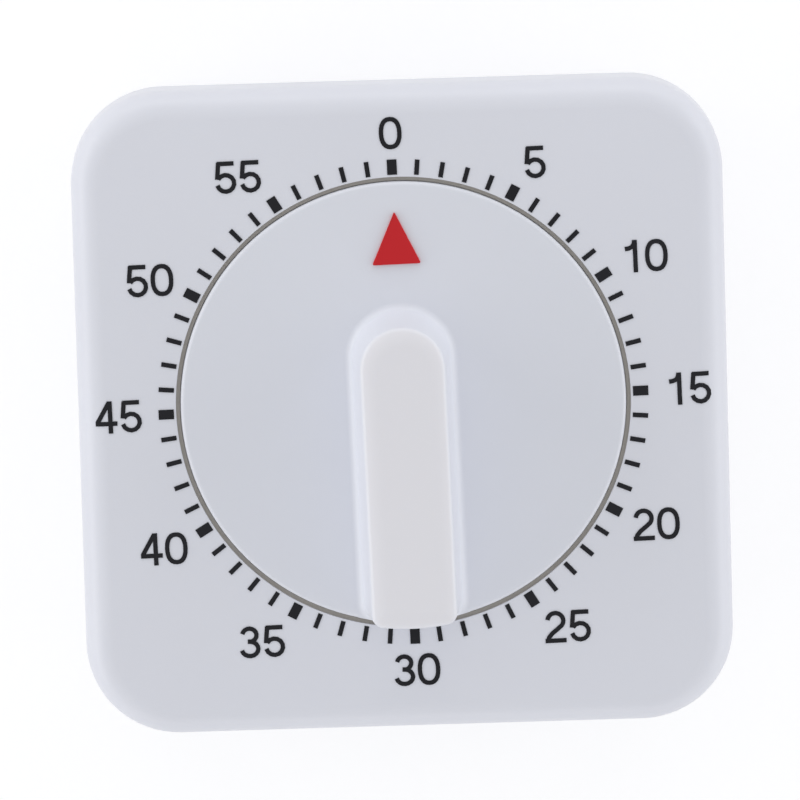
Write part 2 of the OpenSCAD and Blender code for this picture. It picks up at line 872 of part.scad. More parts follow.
module pointer_shape() {
    pointer_base = pointer_tip - pointer_len;
    polygon([[-pointer_w / 2, pointer_base], [pointer_w / 2, pointer_base], [0, pointer_tip]]);
}

module shank_shape() {
    intersection() {
        circle(r = shank_r);
        translate([-2 * shank_r, -2 * shank_r])
            square([2 * shank_r + shank_flat, 4 * shank_r]);
    }
}

module dial_knob() {
    core_w = grip_top_w - 2 * grip_wall;
    core_from = hub_r + grip_wall;
    core_to = dial_r - grip_h * tan(grip_draft) - 2 * grip_wall;
    color(white)
        on_print() {
            difference() {
                union() {
                    rotate_extrude() {
                        polygon([
                            [0, dial_under_z], [dial_r, dial_under_z], [dial_r, dial_z - dial_round],
                            [dial_r - dial_round, dial_z], [0, dial_z]
                        ]);
                        translate([dial_r - dial_round, dial_z - dial_round])
                            circle(r = dial_round);
                    }
                    intersection() {
                        grip();
                        grip_limit();
                    }
                    rod(hub_r, cam_z + cam_t + hub_end_gap, dial_under_z + dial_t / 2);
                }
                slab(cam_z, dial_under_z + shank_reach + screw_gap)
                    shank_shape();
                translate([-core_w / 2, -core_to, dial_under_z - clear])
                    cube([core_w, core_to - core_from, grip_z - grip_roof - dial_under_z + clear]);
                slab(dial_z - pointer_depth, dial_z + clear)
                    pointer_shape();
            }
            rotate([0, 0, -stop_angle / 2])
                translate([stop_r - stop_len / 2, -stop_w / 2, well_z + stop_gap])
                    cube([stop_len, stop_w, dial_lift - stop_gap + dial_t / 2]);
        }
}

module pointer_inlay() {
    color([0.78, 0.15, 0.18])
        on_print()
            slab(dial_z - pointer_depth, dial_z + pointer_proud)
                pointer_shape();
}

// Holes for the pillars and for the arbors that both plates carry.
module plate_holes() {
    at_corners(pillar_at)
        circle(r = rivet_r);
    for (p = [second_at, third_at, escape_at, pallet_at, strike_at])
        translate(p)
            circle(r = pivot_r + pivot_gap);
    translate(hammer_at)
        circle(r = hammer_pivot_r + pivot_gap);
}

module front_plate() {
    color(steel)
        on_axis()
            slab(front_plate_z, front_top_z)
                difference() {
                    union() {
                        round_square(plate_half - plate_corner, plate_corner);
                        at_ears() {
                            circle(r = ear_r);
                            translate([-ear_r - plate_corner, -ear_r])
                                square([ear_r + plate_corner, 2 * ear_r]);
                        }
                    }
                    plate_holes();
                    circle(r = shank_r + pivot_gap);
                    at_ears()
                        circle(r = small_shank_r + screw_gap);
                    translate(stud_at)
                        circle(r = stud_r / 2);
                }
}

module rear_plate() {
    color(steel)
        on_axis()
            slab(rear_plate_z, gap_z)
                difference() {
                    round_square(plate_half - plate_corner, plate_corner);
                    plate_holes();
                    circle(r = main_pivot_r + pivot_gap);
                }
}

module plate_pillars() {
    color(steel)
        on_axis()
            at_corners(pillar_at) {
                rod(rivet_r, rear_plate_z, front_top_z);
                rod(pillar_r, gap_z, front_plate_z);
            }
}

module small_screw(from) {
    difference() {
        union() {
            rod(small_head_r, from - small_head_h, from);
            rod(small_shank_r, from, from + plate_t + small_bite);
        }
        translate([0, 0, from - small_head_h - clear])
            cross_slot(small_head_r - cross_w);
    }
}

module movement_screws() {
    color(steel)
        on_axis()
            at_ears()
                small_screw(front_plate_z);
}

module main_arbor() {
    shank_z = dial_under_z + shank_reach;
    color(steel)
        on_axis() {
            rod(main_pivot_r, rear_plate_z, gap_z + end_float);
            rod(main_r, gap_z + end_float, front_plate_z - end_float);
            rod(collar_r, main_z - collar_t, main_z);
            difference() {
                rod(shank_r, front_plate_z - end_float, shank_z);
                rotate([0, 0, print_turn])
                    translate([shank_flat, -shank_r, cam_z])
                        cube([shank_r, 2 * shank_r, shank_z - cam_z + clear]);
            }
        }
}

module main_wheel() {
    color(brass)
        on_axis()
            spoked_wheel(main_mod, main_teeth, main_z, main_z + main_t, main_r);
}

module clutch_spring() {
    color(steel)
        on_axis()
            rotate_extrude()
                polygon([
                    [main_r, clutch_z + clutch_h - clutch_t], [clutch_r, clutch_z],
                    [clutch_r, clutch_z + clutch_t], [main_r, clutch_z + clutch_h]
                ]);
}

module release_cam() {
    notch_root = cam_r - notch_depth;
    from = finger_dir - stop_angle - notch_half;
    to = finger_dir + notch_half;
    color(steel)
        on_axis()
            slab(cam_z, cam_z + cam_t)
                difference() {
                    circle(r = cam_r);
                    rotate([0, 0, print_turn])
                        shank_shape();
                    polygon([
                        polar(notch_root, from), polar(cam_r + clear, from),
                        polar(cam_r + clear, to), polar(notch_root, to)
                    ]);
                }
}

module mainspring() {
    outer = spiral(1);
    inner = spiral(-1);
    color(steel)
        on_axis()
            slab(spring_z, spring_z + spring_h)
                polygon(concat(outer, [for (i = [len(inner) - 1 : -1 : 0]) inner[i]]));
}

module spring_stud() {
    color(steel)
        on_axis()
            translate(stud_at) {
                rod(stud_r, spring_z, front_plate_z);
                rod(stud_r / 2, spring_z, front_top_z);
            }
}

module second_arbor() {
    color(steel)
        on_axis()
            translate(second_at)
                small_arbor(main_mod, second_pinion, main_z, main_t, second_turn);
}

module second_wheel() {
    color(brass)
        on_axis()
            translate(second_at)
                rotate([0, 0, second_turn])
                    spoked_wheel(second_mod, second_teeth, second_z, second_z + second_t, arbor_r);
}

module third_arbor() {
    color(steel)
        on_axis()
            translate(third_at)
                small_arbor(second_mod, third_pinion, second_z, second_t, third_turn);
}

module third_wheel() {
    color(acetal)
        on_axis()
            translate(third_at)
                rotate([0, 0, third_turn])
                    spoked_wheel(third_mod, third_teeth, third_z, third_z + third_t, arbor_r);
}

module escape_arbor() {
    color(steel)
        on_axis()
            translate(escape_at)
                small_arbor(third_mod, escape_pinion, third_z, third_t, escape_turn);
}

module escape_wheel() {
    color(acetal)
        on_axis()
            translate(escape_at)
                rotate([0, 0, pallet_dir + pallet_half + 90 / escape_teeth])
                    slab(star_z, star_z + star_t)
                        difference() {
                            polygon(star_outline(escape_r, escape_tooth, escape_teeth));
                            circle(r = arbor_r);
                        }
}

module pallet_arbor() {
    color(steel)
        on_axis()
            translate(pallet_at) {
                rod(pivot_r, rear_plate_z, front_top_z);
                rod(arbor_r, gap_z + end_float, front_plate_z - end_float);
            }
}

module pallet_lever() {
    color(acetal)
        on_axis()
            translate(pallet_at)
                pin_verge(
                    pallet_reach / cos(pallet_half), pallet_dir + 180, pallet_reach, pallet_half, arbor_r
                );
}

module strike_arbor() {
    color(steel)
        on_axis()
            translate(strike_at)
                small_arbor(main_mod, strike_pinion, main_z, main_t, strike_turn);
}

module strike_wheel() {
    color(steel)
        on_axis()
            translate(strike_at)
                rotate([0, 0, strike_half + 90 / strike_teeth])
                    slab(star_z, star_z + star_t)
                        difference() {
                            polygon(star_outline(strike_r, strike_tooth, strike_teeth));
                            circle(r = arbor_r);
                        }
}

module hammer_arbor() {
    color(steel)
        on_axis()
            translate(hammer_at) {
                rod(hammer_pivot_r, hammer_z, cam_z + cam_t);
                rod(arbor_r + end_float, gap_z + end_float, front_plate_z - end_float);
            }
}

module strike_verge() {
    color(steel)
        on_axis()
            translate(hammer_at)
                pin_verge(
                    strike_reach / cos(strike_half), 180, strike_reach, strike_half, arbor_r + end_float
                );
}

module lock_arm() {
    bend = polar(finger_reach + finger_len, finger_dir) - hammer_at;
    tip = polar(finger_reach, finger_dir) - hammer_at;
    color(steel)
        on_axis()
            translate(hammer_at)
                slab(cam_z, cam_z + cam_t)
                    difference() {
                        union() {
                            circle(r = arm_w);
                            bar([0, 0], bend, 2 * finger_r);
                            bar(bend, tip, 2 * finger_r);
                            translate(bend)
                                circle(r = finger_r);
                            translate(tip)
                                circle(r = finger_r);
                        }
                        circle(r = hammer_pivot_r);
                    }
}

module hammer() {
    tip = polar(hammer_len, hammer_turn);
    color(brass)
        on_axis()
            translate(hammer_at) {
                slab(hammer_z, hammer_z + hammer_t)
                    difference() {
                        union() {
                            circle(r = arm_w);
                            bar([0, 0], tip, arm_w);
                            translate(tip)
                                circle(r = head_r);
                        }
                        circle(r = hammer_pivot_r);
                    }
                translate(tip)
                    rod(head_r, bell_z + bell_t, hammer_z);
            }
}

module bell() {
    color(steel)
        on_axis()
            rotate_extrude()
                difference() {
                    union() {
                        translate([0, bell_z])
                            square([bell_r - bell_round, bell_h]);
                        translate([0, bell_z + bell_round])
                            square([bell_r, bell_h - bell_round]);
                        translate([bell_r - bell_round, bell_z + bell_round])
                            circle(r = bell_round);
                    }
                    translate([0, bell_z + bell_t])
                        square([bell_r - bell_round, bell_h]);
                    translate([0, bell_z + bell_round])
                        square([bell_r - bell_t, bell_h]);
                    translate([bell_r - bell_round, bell_z + bell_round])
                        circle(r = bell_round - bell_t);
                    square([small_shank_r + screw_gap, bell_z + bell_h]);
                }
}

module bell_screw() {
    seat = bell_z + bell_t;
    color(steel)
        on_axis()
            translate([0, 0, seat])
                difference() {
                    union() {
                        rod(small_head_r, 0, small_head_h);
                        rod(small_shank_r, -bell_t - small_bite, 0);
                    }
                    translate([0, 0, small_head_h - cross_depth])
                        cross_slot(small_head_r - cross_w);
                }
}

front_housing();
rear_case();
case_screws();
minute_marks();
scale_numerals();
dial_knob();
pointer_inlay();
front_plate();
rear_plate();
plate_pillars();
movement_screws();
main_arbor();
main_wheel();
clutch_spring();
release_cam();
mainspring();
spring_stud();
second_arbor();
second_wheel();
third_arbor();
third_wheel();
escape_arbor();
escape_wheel();
pallet_arbor();
pallet_lever();
strike_arbor();
strike_wheel();
hammer_arbor();
strike_verge();
lock_arm();
hammer();
bell();
bell_screw();
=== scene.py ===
import json
import math

import bmesh
import bpy
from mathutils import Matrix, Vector


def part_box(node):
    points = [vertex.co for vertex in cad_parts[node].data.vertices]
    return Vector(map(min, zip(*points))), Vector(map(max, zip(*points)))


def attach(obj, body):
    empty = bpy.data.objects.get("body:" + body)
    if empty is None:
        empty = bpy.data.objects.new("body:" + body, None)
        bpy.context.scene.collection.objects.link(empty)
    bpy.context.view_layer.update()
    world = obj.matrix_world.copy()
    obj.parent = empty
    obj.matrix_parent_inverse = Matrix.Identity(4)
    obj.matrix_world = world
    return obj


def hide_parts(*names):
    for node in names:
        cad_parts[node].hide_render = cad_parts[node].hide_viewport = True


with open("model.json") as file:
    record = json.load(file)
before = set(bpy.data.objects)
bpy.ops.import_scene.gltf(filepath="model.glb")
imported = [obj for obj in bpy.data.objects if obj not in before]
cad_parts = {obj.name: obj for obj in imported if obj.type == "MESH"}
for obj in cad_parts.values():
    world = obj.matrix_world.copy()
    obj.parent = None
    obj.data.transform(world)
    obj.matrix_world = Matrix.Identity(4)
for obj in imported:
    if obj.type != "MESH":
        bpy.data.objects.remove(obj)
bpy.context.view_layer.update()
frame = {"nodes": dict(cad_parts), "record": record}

bl_info = {
    "name": "Minute timer",
    "version": (1, 0, 0),
    "blender": (4, 5, 0),
    "location": "3D View > Sidebar > Timer",
    "description": "Models and finishes a clockwork minute timer round its packed frame",
    "category": "Object",
}

MM = 0.001

# Two places closer than NEAR count as one; vertices closer than MERGE, and corners of an
# outline closer than CLOSE, are merged.
NEAR = 2e-6
MERGE = 1e-6
CLOSE = 0.1 * MM

# Edges that turn by more than this stay sharp.
SHARP = math.radians(32)

# Sides of a circle, and steps of the roundings from the case corners down to the small edges.
ROUND = 128
CORNER_STEPS = 16
EDGE_STEPS = 8
RIM_STEPS = 6
SMALL_STEPS = 3

# Reach of a cutter past the face it cuts, and the small shift that keeps two faces apart.
OVER = 0.5 * MM
SINK = 0.05 * MM

# Run of the grip's fillet over the disc, and share of half its width that rounds a slot's ends.
FLARE = 6 * SINK
SLOT_END = 0.96

# Base and height of the three-sided cylinder of radius 1 that the pointer starts from.
TRIANGLE_BASE = math.sqrt(3)
TRIANGLE_HEIGHT = 1.5

# Dial axis, seen from the front, and the four directions in which the plate is screwed on.
AXIS = tuple(frame["record"]["behaviour"]["joints"][0]["pos_m"][:2])
FOUR_WAYS = ((1, 0), (0, 1), (-1, 0), (0, -1))


# Settings


def length(name, description, size):
    """A length given in millimetres."""
    return bpy.props.FloatProperty(
        name=name, description=description, default=size * MM, min=0, unit="LENGTH", precision=5)


def angle(name, description, size):
    """An angle given in degrees."""
    return bpy.props.FloatProperty(
        name=name, description=description, default=math.radians(size),
        subtype="ANGLE", unit="ROTATION")


def shade(name, description, value):
    """A colour."""
    return bpy.props.FloatVectorProperty(
        name=name, description=description, default=value, subtype="COLOR", min=0, max=1)


class CaseSettings(bpy.types.PropertyGroup):
    """Sizes of the two case mouldings."""

    corner: length("Corner", "Radius of the case corners, seen from the front", 10)
    front_round: length("Front rounding", "Rounding of the front edge", 3)
    wall: length("Wall", "Wall of both mouldings", 2)
    seam_round: length("Seam rounding", "Rounding of the rim at the seam of the mouldings", 0.25)
    lip_width: length("Lip width", "Width of the step round the mouth of the well", 0.45)
    lip_depth: length("Lip depth", "Depth of the step round the mouth of the well", 0.45)
    lip_round: length("Lip rounding", "Rounding of the edges of that step", 0.08)
    well_wall: length("Well wall", "Wall round the well", 1.58)
    well_floor: length("Well floor", "Thickness of the floor of the well", 1.6)
    hub_hole: length("Hub hole", "Radius of the hole for the hub of the dial", 4.3)
    rear_step: length("Rear step", "Step from the rim in to the rear moulding", 1.2)
    rear_taper: angle("Rear taper", "Slope of the walls of the rear moulding", 8)
    rear_round: length("Rear rounding", "Rounding of the rear edge", 1.5)
    rear_floor: length("Rear wall", "Thickness of the rear wall", 2)
    tongue: length("Tongue", "Height of the tongue that enters the rim", 2)
    tongue_gap: length("Tongue gap", "Gap round the tongue", 0.1)
    slot_count: bpy.props.IntProperty(
        name="Slots", description="Number of sound slots in each of the two rows",
        default=6, min=1)
    slot_width: length("Slot width", "Width of a sound slot", 1.8)
    slot_length: length("Slot length", "Length of a sound slot", 12)
    slot_pitch: length("Slot pitch", "Pitch of the sound slots", 4.6)
    slot_from: length("Slot start", "Distance of the slots from the dial axis", 5)
    slot_round: length("Slot rounding", "Rounding of the edges of slots and screw wells", 0.2)
    post_at: length("Post place", "Distance of the screw posts from the middle, each way", 25.5)
    post_r: length("Post radius", "Radius of the screw posts", 3.2)
    bite_r: length("Screw bore", "Radius of the bores that the case screws cut into", 1.22)
    pass_r: length("Screw passage", "Radius of the holes that the case screws pass", 1.4)
    well_r: length("Screw well", "Radius of the wells for the screw heads", 2.3)
    well_depth: length("Screw well depth", "Depth of the wells for the screw heads", 4)
    boss_r: length("Boss radius", "Radius of the bosses for the movement", 3)
    stand_r: length("Bell stand radius", "Radius of the stand under the bell", 3.2)
    small_bore: length("Small bore", "Radius of the bores for the small screws", 1.02)


class DialSettings(bpy.types.PropertyGroup):
    """Sizes of the dial, its grip and its pointer."""

    gap: length("Running gap", "Gap between the dial and its well", 0.04)
    lift: length("Lift", "Free height between the dial and the floor of the well", 1)
    disc: length("Disc", "Thickness of the dial disc", 2.6)
    rim_round: length("Rim rounding", "Rounding of the rim of the dial", 0.45)
    hub_r: length("Hub", "Radius of the hub", 4.2)
    shank_r: length("Shank", "Radius of the arbor in the hub", 1.8)
    shank_flat: length("Shank flat", "Distance of the flat of the arbor from its axis", 1.3)
    stop_inset: length("Stop inset", "Distance of the end stop from the rim", 4)
    stop_width: length("Stop width", "Width of the lug and of the rib it meets", 0.8)
    stop_length: length("Stop length", "Length of the lug and of the rib", 2)
    stop_angle: angle(
        "Stop angle", "Angle between the lug and the rib at both ends of the travel, together", 6)
    stop_gap: length("Stop gap", "Gap over the rib and under the lug", 0.25)
    turn: angle("Turn", "Turn of the dial in the case, anticlockwise", 1.2)
    grip_width: length("Grip width", "Width of the top of the grip, edge rounding included", 9)
    grip_draft: angle("Grip draft", "Slope of the sides of the grip", 5)
    grip_fillet: length("Grip fillet", "Fillet between the grip and the disc", 0.9)
    grip_round: length("Grip rounding", "Rounding of the top edge of the grip", 0.7)
    crown: length("Crown", "Radius of the soft crown between that edge and the flat top", 4)
    crown_from: angle("Crown start", "Steepness at which the edge rounding becomes the crown", 68)
    grip_centre: length(
        "Grip centre", "Centre of the round end of the grip above the dial axis", 4.85)
    end_round: length(
        "End rounding", "Rounding of the upright corners at the rim end of the grip", 0.55)
    grip_wall: length("Grip wall", "Wall left round the hollow of the grip", 1.6)
    grip_roof: length("Grip roof", "Thickness left over the hollow of the grip", 2)
    pointer_inset: length("Pointer inset", "Distance of the tip of the pointer from the rim", 3.2)
    pointer_length: length("Pointer length", "Length of the pointer", 5.7)
    pointer_width: length("Pointer width", "Width of the base of the pointer", 5.25)
    pointer_depth: length("Pointer depth", "Depth of the pocket for the pointer", 0.5)
    pointer_proud: length("Pointer height", "Height of the solid pointer above the disc", 0.05)
    pointer_rise: length("Pointer rise", "Height of the finished pointer above the disc", 0.3)
    pointer_round: length(
        "Pointer rounding", "Rounding of the upright edges of the pointer", 0.22)
    pointer_edge: length("Pointer edge", "Rounding of the top edge of the pointer", 0.09)


class FinishSettings(bpy.types.PropertyGroup):
    """Colours of the pieces."""

    case: shade("Case plastic", "White of the case mouldings", (0.79, 0.80, 0.865))
    dial: shade("Dial plastic", "White of the dial and its grip", (0.79, 0.805, 0.87))
    # Painted shade: a darker beige painted on the step in the recess round the dial, standing in
    # for the shade that falls there.
    groove: shade("Groove", "Dull beige in the groove round the dial", (0.46, 0.435, 0.40))
    # Painted light: the top of the grip is painted a lighter, warmer white than the dial, standing
    # in for the light it catches, not for handling.
    grip: shade("Grip top", "Warmer white of the handled top of the grip", (0.853, 0.844, 0.885))
    pointer: shade("Pointer", "Red of the pointer", (0.61, 0.013, 0.019))
    ink: shade("Print", "Dark grey of the printed scale", (0.013, 0.013, 0.017))
    steel: shade("Steel", "Plated steel of plates and arbors", (0.50, 0.51, 0.53))
    screw: shade("Screw steel", "Plated steel of the screws", (0.45, 0.459, 0.477))
    spring: shade("Spring steel", "Blued steel of the springs", (0.20, 0.22, 0.30))
    brass: shade("Brass", "Stamped brass of the large wheels", (0.62, 0.42, 0.13))
    acetal: shade("Acetal", "Natural plastic of the small wheels", (0.78, 0.74, 0.62))
    bell: shade("Bell", "Bright plated steel of the bell", (0.70, 0.70, 0.72))


class StageSettings(bpy.types.PropertyGroup):
    """Camera, even light and floor."""

    lens: bpy.props.FloatProperty(
        name="Lens", description="Focal length of the camera, in millimetres on a 36 mm sensor",
        default=400, min=20, max=1000)
    camera_at: bpy.props.FloatVectorProperty(
        name="Camera", description="Place of the camera", subtype="TRANSLATION", unit="LENGTH",
        default=(-0.010426, 0.144229, 0.969099))
    camera_turn: bpy.props.FloatVectorProperty(
        name="Camera turn", description="Rotation of the camera", subtype="EULER",
        unit="ROTATION",
        default=(math.radians(-8.5965), math.radians(-0.8538), math.radians(-1.6109)))
    floor: shade("Floor", "Colour of the floor", (0.55, 0.55, 0.56))
    fill: bpy.props.FloatProperty(
        name="Fill", description="Strength of the even light from all round",
        default=0.62, min=0, max=2)


# Materials


# Noise per metre for a grain size in millimetres, of the mottle and of the tarnish.
GRAIN_RATE = 1000
MOTTLE_RATE = 55
TARNISH_RATE = 220

# Span of a noise over which mottle, tarnish and gloss run from none to full.
MOTTLE_SPAN = (0.3, 0.7)
TARNISH_SPAN = (0.35, 0.75)
GLOSS_SPAN = (0.3, 0.7)

# Depths below the top of the grip at which its painted light, a lighter and warmer white, starts
# and is full.
TOP_LIGHT_FROM = 0.8 * MM
TOP_LIGHT_FULL = 0.25 * MM


def add_node(tree, kind, at, inputs=None, **values):
    """Add a shader node; inputs gives its sockets plain values, or sockets to link them to."""
    made = tree.nodes.new(kind)
    made.location = at
    for key, value in values.items():
        setattr(made, key, value)
    for key, value in (inputs or {}).items():
        if isinstance(value, bpy.types.NodeSocket):
            tree.links.new(value, made.inputs[key])
        else:
            made.inputs[key].default_value = value
    return made


def calculate(tree, at, operation, first, second):
    """Result of a Math node on two sockets or plain numbers."""
    made = add_node(tree, "ShaderNodeMath", at, {0: first, 1: second}, operation=operation)
    return made.outputs[0]


def effect_group(name, inputs):
    """A new shader group from a colour and some values to a colour, a roughness and a height."""
    tree = bpy.data.node_groups.new(name, "ShaderNodeTree")
    add = tree.interface.new_socket
    add("Colour", in_out="INPUT", socket_type="NodeSocketColor")
    for label, kind, value in inputs:
        add(label, in_out="INPUT", socket_type="NodeSocket" + kind).default_value = value
    add("Colour", in_out="OUTPUT", socket_type="NodeSocketColor")
    for label in ("Roughness", "Height"):
        add(label, in_out="OUTPUT", socket_type="NodeSocketFloat")
    start = add_node(tree, "NodeGroupInput", (-900, 0))
    end = add_node(tree, "NodeGroupOutput", (600, 0))
    place = add_node(tree, "ShaderNodeTexCoord", (-900, -300))
    return tree, start.outputs, end.inputs, place.outputs["Object"]


def darken(tree, colour, noise, span, depth):
    """A colour that a noise darkens by up to a given depth."""
    level = add_node(tree, "ShaderNodeMapRange", (-220, 160),
                     {"Value": noise, "From Min": span[0], "From Max": span[1]})
    dim = calculate(tree, (-20, 160), "MULTIPLY", level.outputs["Result"], depth)
    keep = calculate(tree, (140, 160), "SUBTRACT", 1, dim)
    made = add_node(tree, "ShaderNodeMix", (340, 160), {"Factor": 1, "A": colour, "B": keep},
                    data_type="RGBA", blend_type="MULTIPLY")
    return made.outputs["Result"]


def vary_gloss(tree, start, noise):
    """A roughness that runs between the two gloss values of a group with a noise."""
    made = add_node(tree, "ShaderNodeMapRange", (340, -60), {
        "Value": noise, "From Min": GLOSS_SPAN[0], "From Max": GLOSS_SPAN[1],
        "To Min": start["Gloss Low"], "To Max": start["Gloss High"]})
    return made.outputs["Result"]


def moulded_grain():
    """Moulded plastic or print: fine pits, soft mottle and uneven gloss."""
    name = "moulded_grain"
    if name in bpy.data.node_groups:
        return bpy.data.node_groups[name]
    tree, start, end, place = effect_group(name, (
        ("Mottle", "Float", 0.03), ("Grain Size", "Float", 0.2),
        ("Gloss Low", "Float", 0.3), ("Gloss High", "Float", 0.4)))
    rate = calculate(tree, (-680, -220), "DIVIDE", GRAIN_RATE, start["Grain Size"])
    pits = add_node(tree, "ShaderNodeTexNoise", (-460, -200), {
        "Vector": place, "Scale": rate, "Detail": 3, "Roughness": 0.55})
    clouds = add_node(tree, "ShaderNodeTexNoise", (-460, 160), {
        "Vector": place, "Scale": MOTTLE_RATE, "Detail": 3}).outputs["Fac"]
    tree.links.new(
        darken(tree, start["Colour"], clouds, MOTTLE_SPAN, start["Mottle"]), end["Colour"])
    tree.links.new(vary_gloss(tree, start, clouds), end["Roughness"])
    tree.links.new(pits.outputs["Fac"], end["Height"])
    return tree


def brushed_lines():
    """Rolled or turned metal: fine lines along one axis, dull patches and uneven gloss."""
    name = "brushed_lines"
    if name in bpy.data.node_groups:
        return bpy.data.node_groups[name]
    tree, start, end, place = effect_group(name, (
        ("Line Scale", "Vector", (1, 1, 1)), ("Tarnish", "Float", 0.2),
        ("Gloss Low", "Float", 0.2), ("Gloss High", "Float", 0.4)))
    stretch = add_node(tree, "ShaderNodeVectorMath", (-680, -220),
                       {0: place, 1: start["Line Scale"]}, operation="MULTIPLY")
    lines = add_node(tree, "ShaderNodeTexNoise", (-460, -200), {
        "Vector": stretch.outputs[0], "Scale": 1, "Detail": 4}).outputs["Fac"]
    patches = add_node(tree, "ShaderNodeTexNoise", (-460, 160), {
        "Vector": place, "Scale": TARNISH_RATE, "Detail": 4}).outputs["Fac"]
    tree.links.new(
        darken(tree, start["Colour"], patches, TARNISH_SPAN, start["Tarnish"]), end["Colour"])
    tree.links.new(vary_gloss(tree, start, lines), end["Roughness"])
    tree.links.new(lines, end["Height"])
    return tree


def height_mask(tree, low, high):
    """Rises from 0 to 1 between two heights, or falls where the second is the lower one."""
    place = add_node(tree, "ShaderNodeTexCoord", (-1300, 500))
    axes = add_node(tree, "ShaderNodeSeparateXYZ", (-1100, 500), {0: place.outputs["Object"]})
    ramp = add_node(tree, "ShaderNodeMapRange", (-900, 500), {
        "Value": axes.outputs["Z"], "From Min": low, "From Max": high})
    return ramp.outputs["Result"]


def disc_mask(tree, middle, inner, outer):
    """Falls from 1 to 0 between two distances from an upright axis."""
    place = add_node(tree, "ShaderNodeTexCoord", (-1500, 800))
    shift = add_node(tree, "ShaderNodeVectorMath", (-1300, 800), {
        0: place.outputs["Object"], 1: (*middle, 0)}, operation="SUBTRACT")
    flat = add_node(tree, "ShaderNodeVectorMath", (-1100, 800), {
        0: shift.outputs[0], 1: (1, 1, 0)}, operation="MULTIPLY")
    reach = add_node(tree, "ShaderNodeVectorMath", (-900, 800), {
        0: flat.outputs[0]}, operation="LENGTH")
    ramp = add_node(tree, "ShaderNodeMapRange", (-700, 800), {
        "Value": reach.outputs["Value"], "From Min": inner, "From Max": outer,
        "To Min": 1, "To Max": 0})
    return ramp.outputs["Result"]


def groove_shade_mask(tree):
    """On at the step round the mouth of the well, below the face of the case, where shade is
    painted.
    """
    edge = lip_radius()
    face_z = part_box("front_housing")[1].z
    step_z = face_z - bpy.context.scene.timer_case.lip_depth
    made = disc_mask(tree, AXIS, edge - SINK / 2, edge + SINK)
    for low, high in ((face_z - SINK, face_z - 3 * SINK), (step_z - OVER, step_z - OVER / 2)):
        made = calculate(tree, (-450, 600), "MULTIPLY", made, height_mask(tree, low, high))
    return made


def grip_top_light_mask(tree):
    """On at the top of the grip, where light is painted as a lighter white."""
    grip_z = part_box("dial_knob")[1].z
    return height_mask(tree, grip_z - TOP_LIGHT_FROM, grip_z - TOP_LIGHT_FULL)


def grain_values(mottle, size, low, high):
    """Values of the moulded grain; its size is in millimetres."""
    return moulded_grain, {
        "Mottle": mottle, "Grain Size": size, "Gloss Low": low, "Gloss High": high}


def line_values(scale, tarnish, low, high):
    """Values of the brushed lines; their scale is per metre along X, Y and Z."""
    return brushed_lines, {
        "Line Scale": scale, "Tarnish": tarnish, "Gloss Low": low, "Gloss High": high}


SATIN = {"Specular IOR Level": 0.3, "Subsurface Weight": 0.12, "Subsurface Scale": 0.0012,
         "Subsurface Radius": (1.0, 0.95, 0.9)}
WAXY = {"Specular IOR Level": 0.45, "Subsurface Weight": 0.2, "Subsurface Scale": 0.001,
        "Subsurface Radius": (1.0, 0.9, 0.7)}
METAL = {"Metallic": 1.0}

# Slot of the record: material, colour setting, surface, bump strength and depth, shader values.
FINISHES = {
    "case_plastic": ("case_satin_white", "case", grain_values(0.012, 0.16, 0.3, 0.36),
                     0.12, 0.03 * MM, SATIN),
    "dial_plastic": ("dial_satin_white", "dial", grain_values(0.012, 0.16, 0.32, 0.38),
                     0.12, 0.03 * MM, SATIN),
    "pointer_red": ("pointer_moulded_red", "pointer", grain_values(0.05, 0.12, 0.32, 0.42),
                    0.1, 0.03 * MM, {"Specular IOR Level": 0.3}),
    "ink": ("scale_print_ink", "ink", grain_values(0.25, 0.1, 0.45, 0.65),
            0.25, 0.02 * MM, {"Specular IOR Level": 0.25}),
    "plate_steel": ("plate_rolled_steel", "steel", line_values((400, 9000, 400), 0.12, 0.26, 0.42),
                    0.15, 0.02 * MM, METAL),
    "screw_steel": ("screw_plated_steel", "screw", line_values((2500, 2500, 9000), 0.2, 0.24, 0.4),
                    0.15, 0.02 * MM, METAL),
    "arbor_steel": ("arbor_turned_steel", "steel", line_values((700, 700, 12000), 0.1, 0.16, 0.28),
                    0.15, 0.01 * MM, METAL),
    "spring_steel": ("spring_blued_steel", "spring", line_values((500, 500, 9000), 0.25, 0.2, 0.32),
                     0.1, 0.01 * MM, METAL),
    "wheel_brass": ("wheel_stamped_brass", "brass", line_values((6000, 500, 500), 0.3, 0.24, 0.42),
                    0.15, 0.02 * MM, METAL),
    "wheel_plastic": ("wheel_natural_acetal", "acetal", grain_values(0.06, 0.2, 0.38, 0.5),
                      0.15, 0.03 * MM, WAXY),
    "bell_steel": ("bell_bright_plate", "bell", line_values((600, 600, 6000), 0.08, 0.08, 0.16),
                   0.05, 0.01 * MM, METAL),
}

# Slots whose colour changes in one zone: mask of the zone and its colour setting. Both zones are
# painted light: painted shade in the groove round the dial, and a painted lighter white on the top
# of the grip.
ZONES = {"case_plastic": (groove_shade_mask, "groove"), "dial_plastic": (grip_top_light_mask, "grip")}


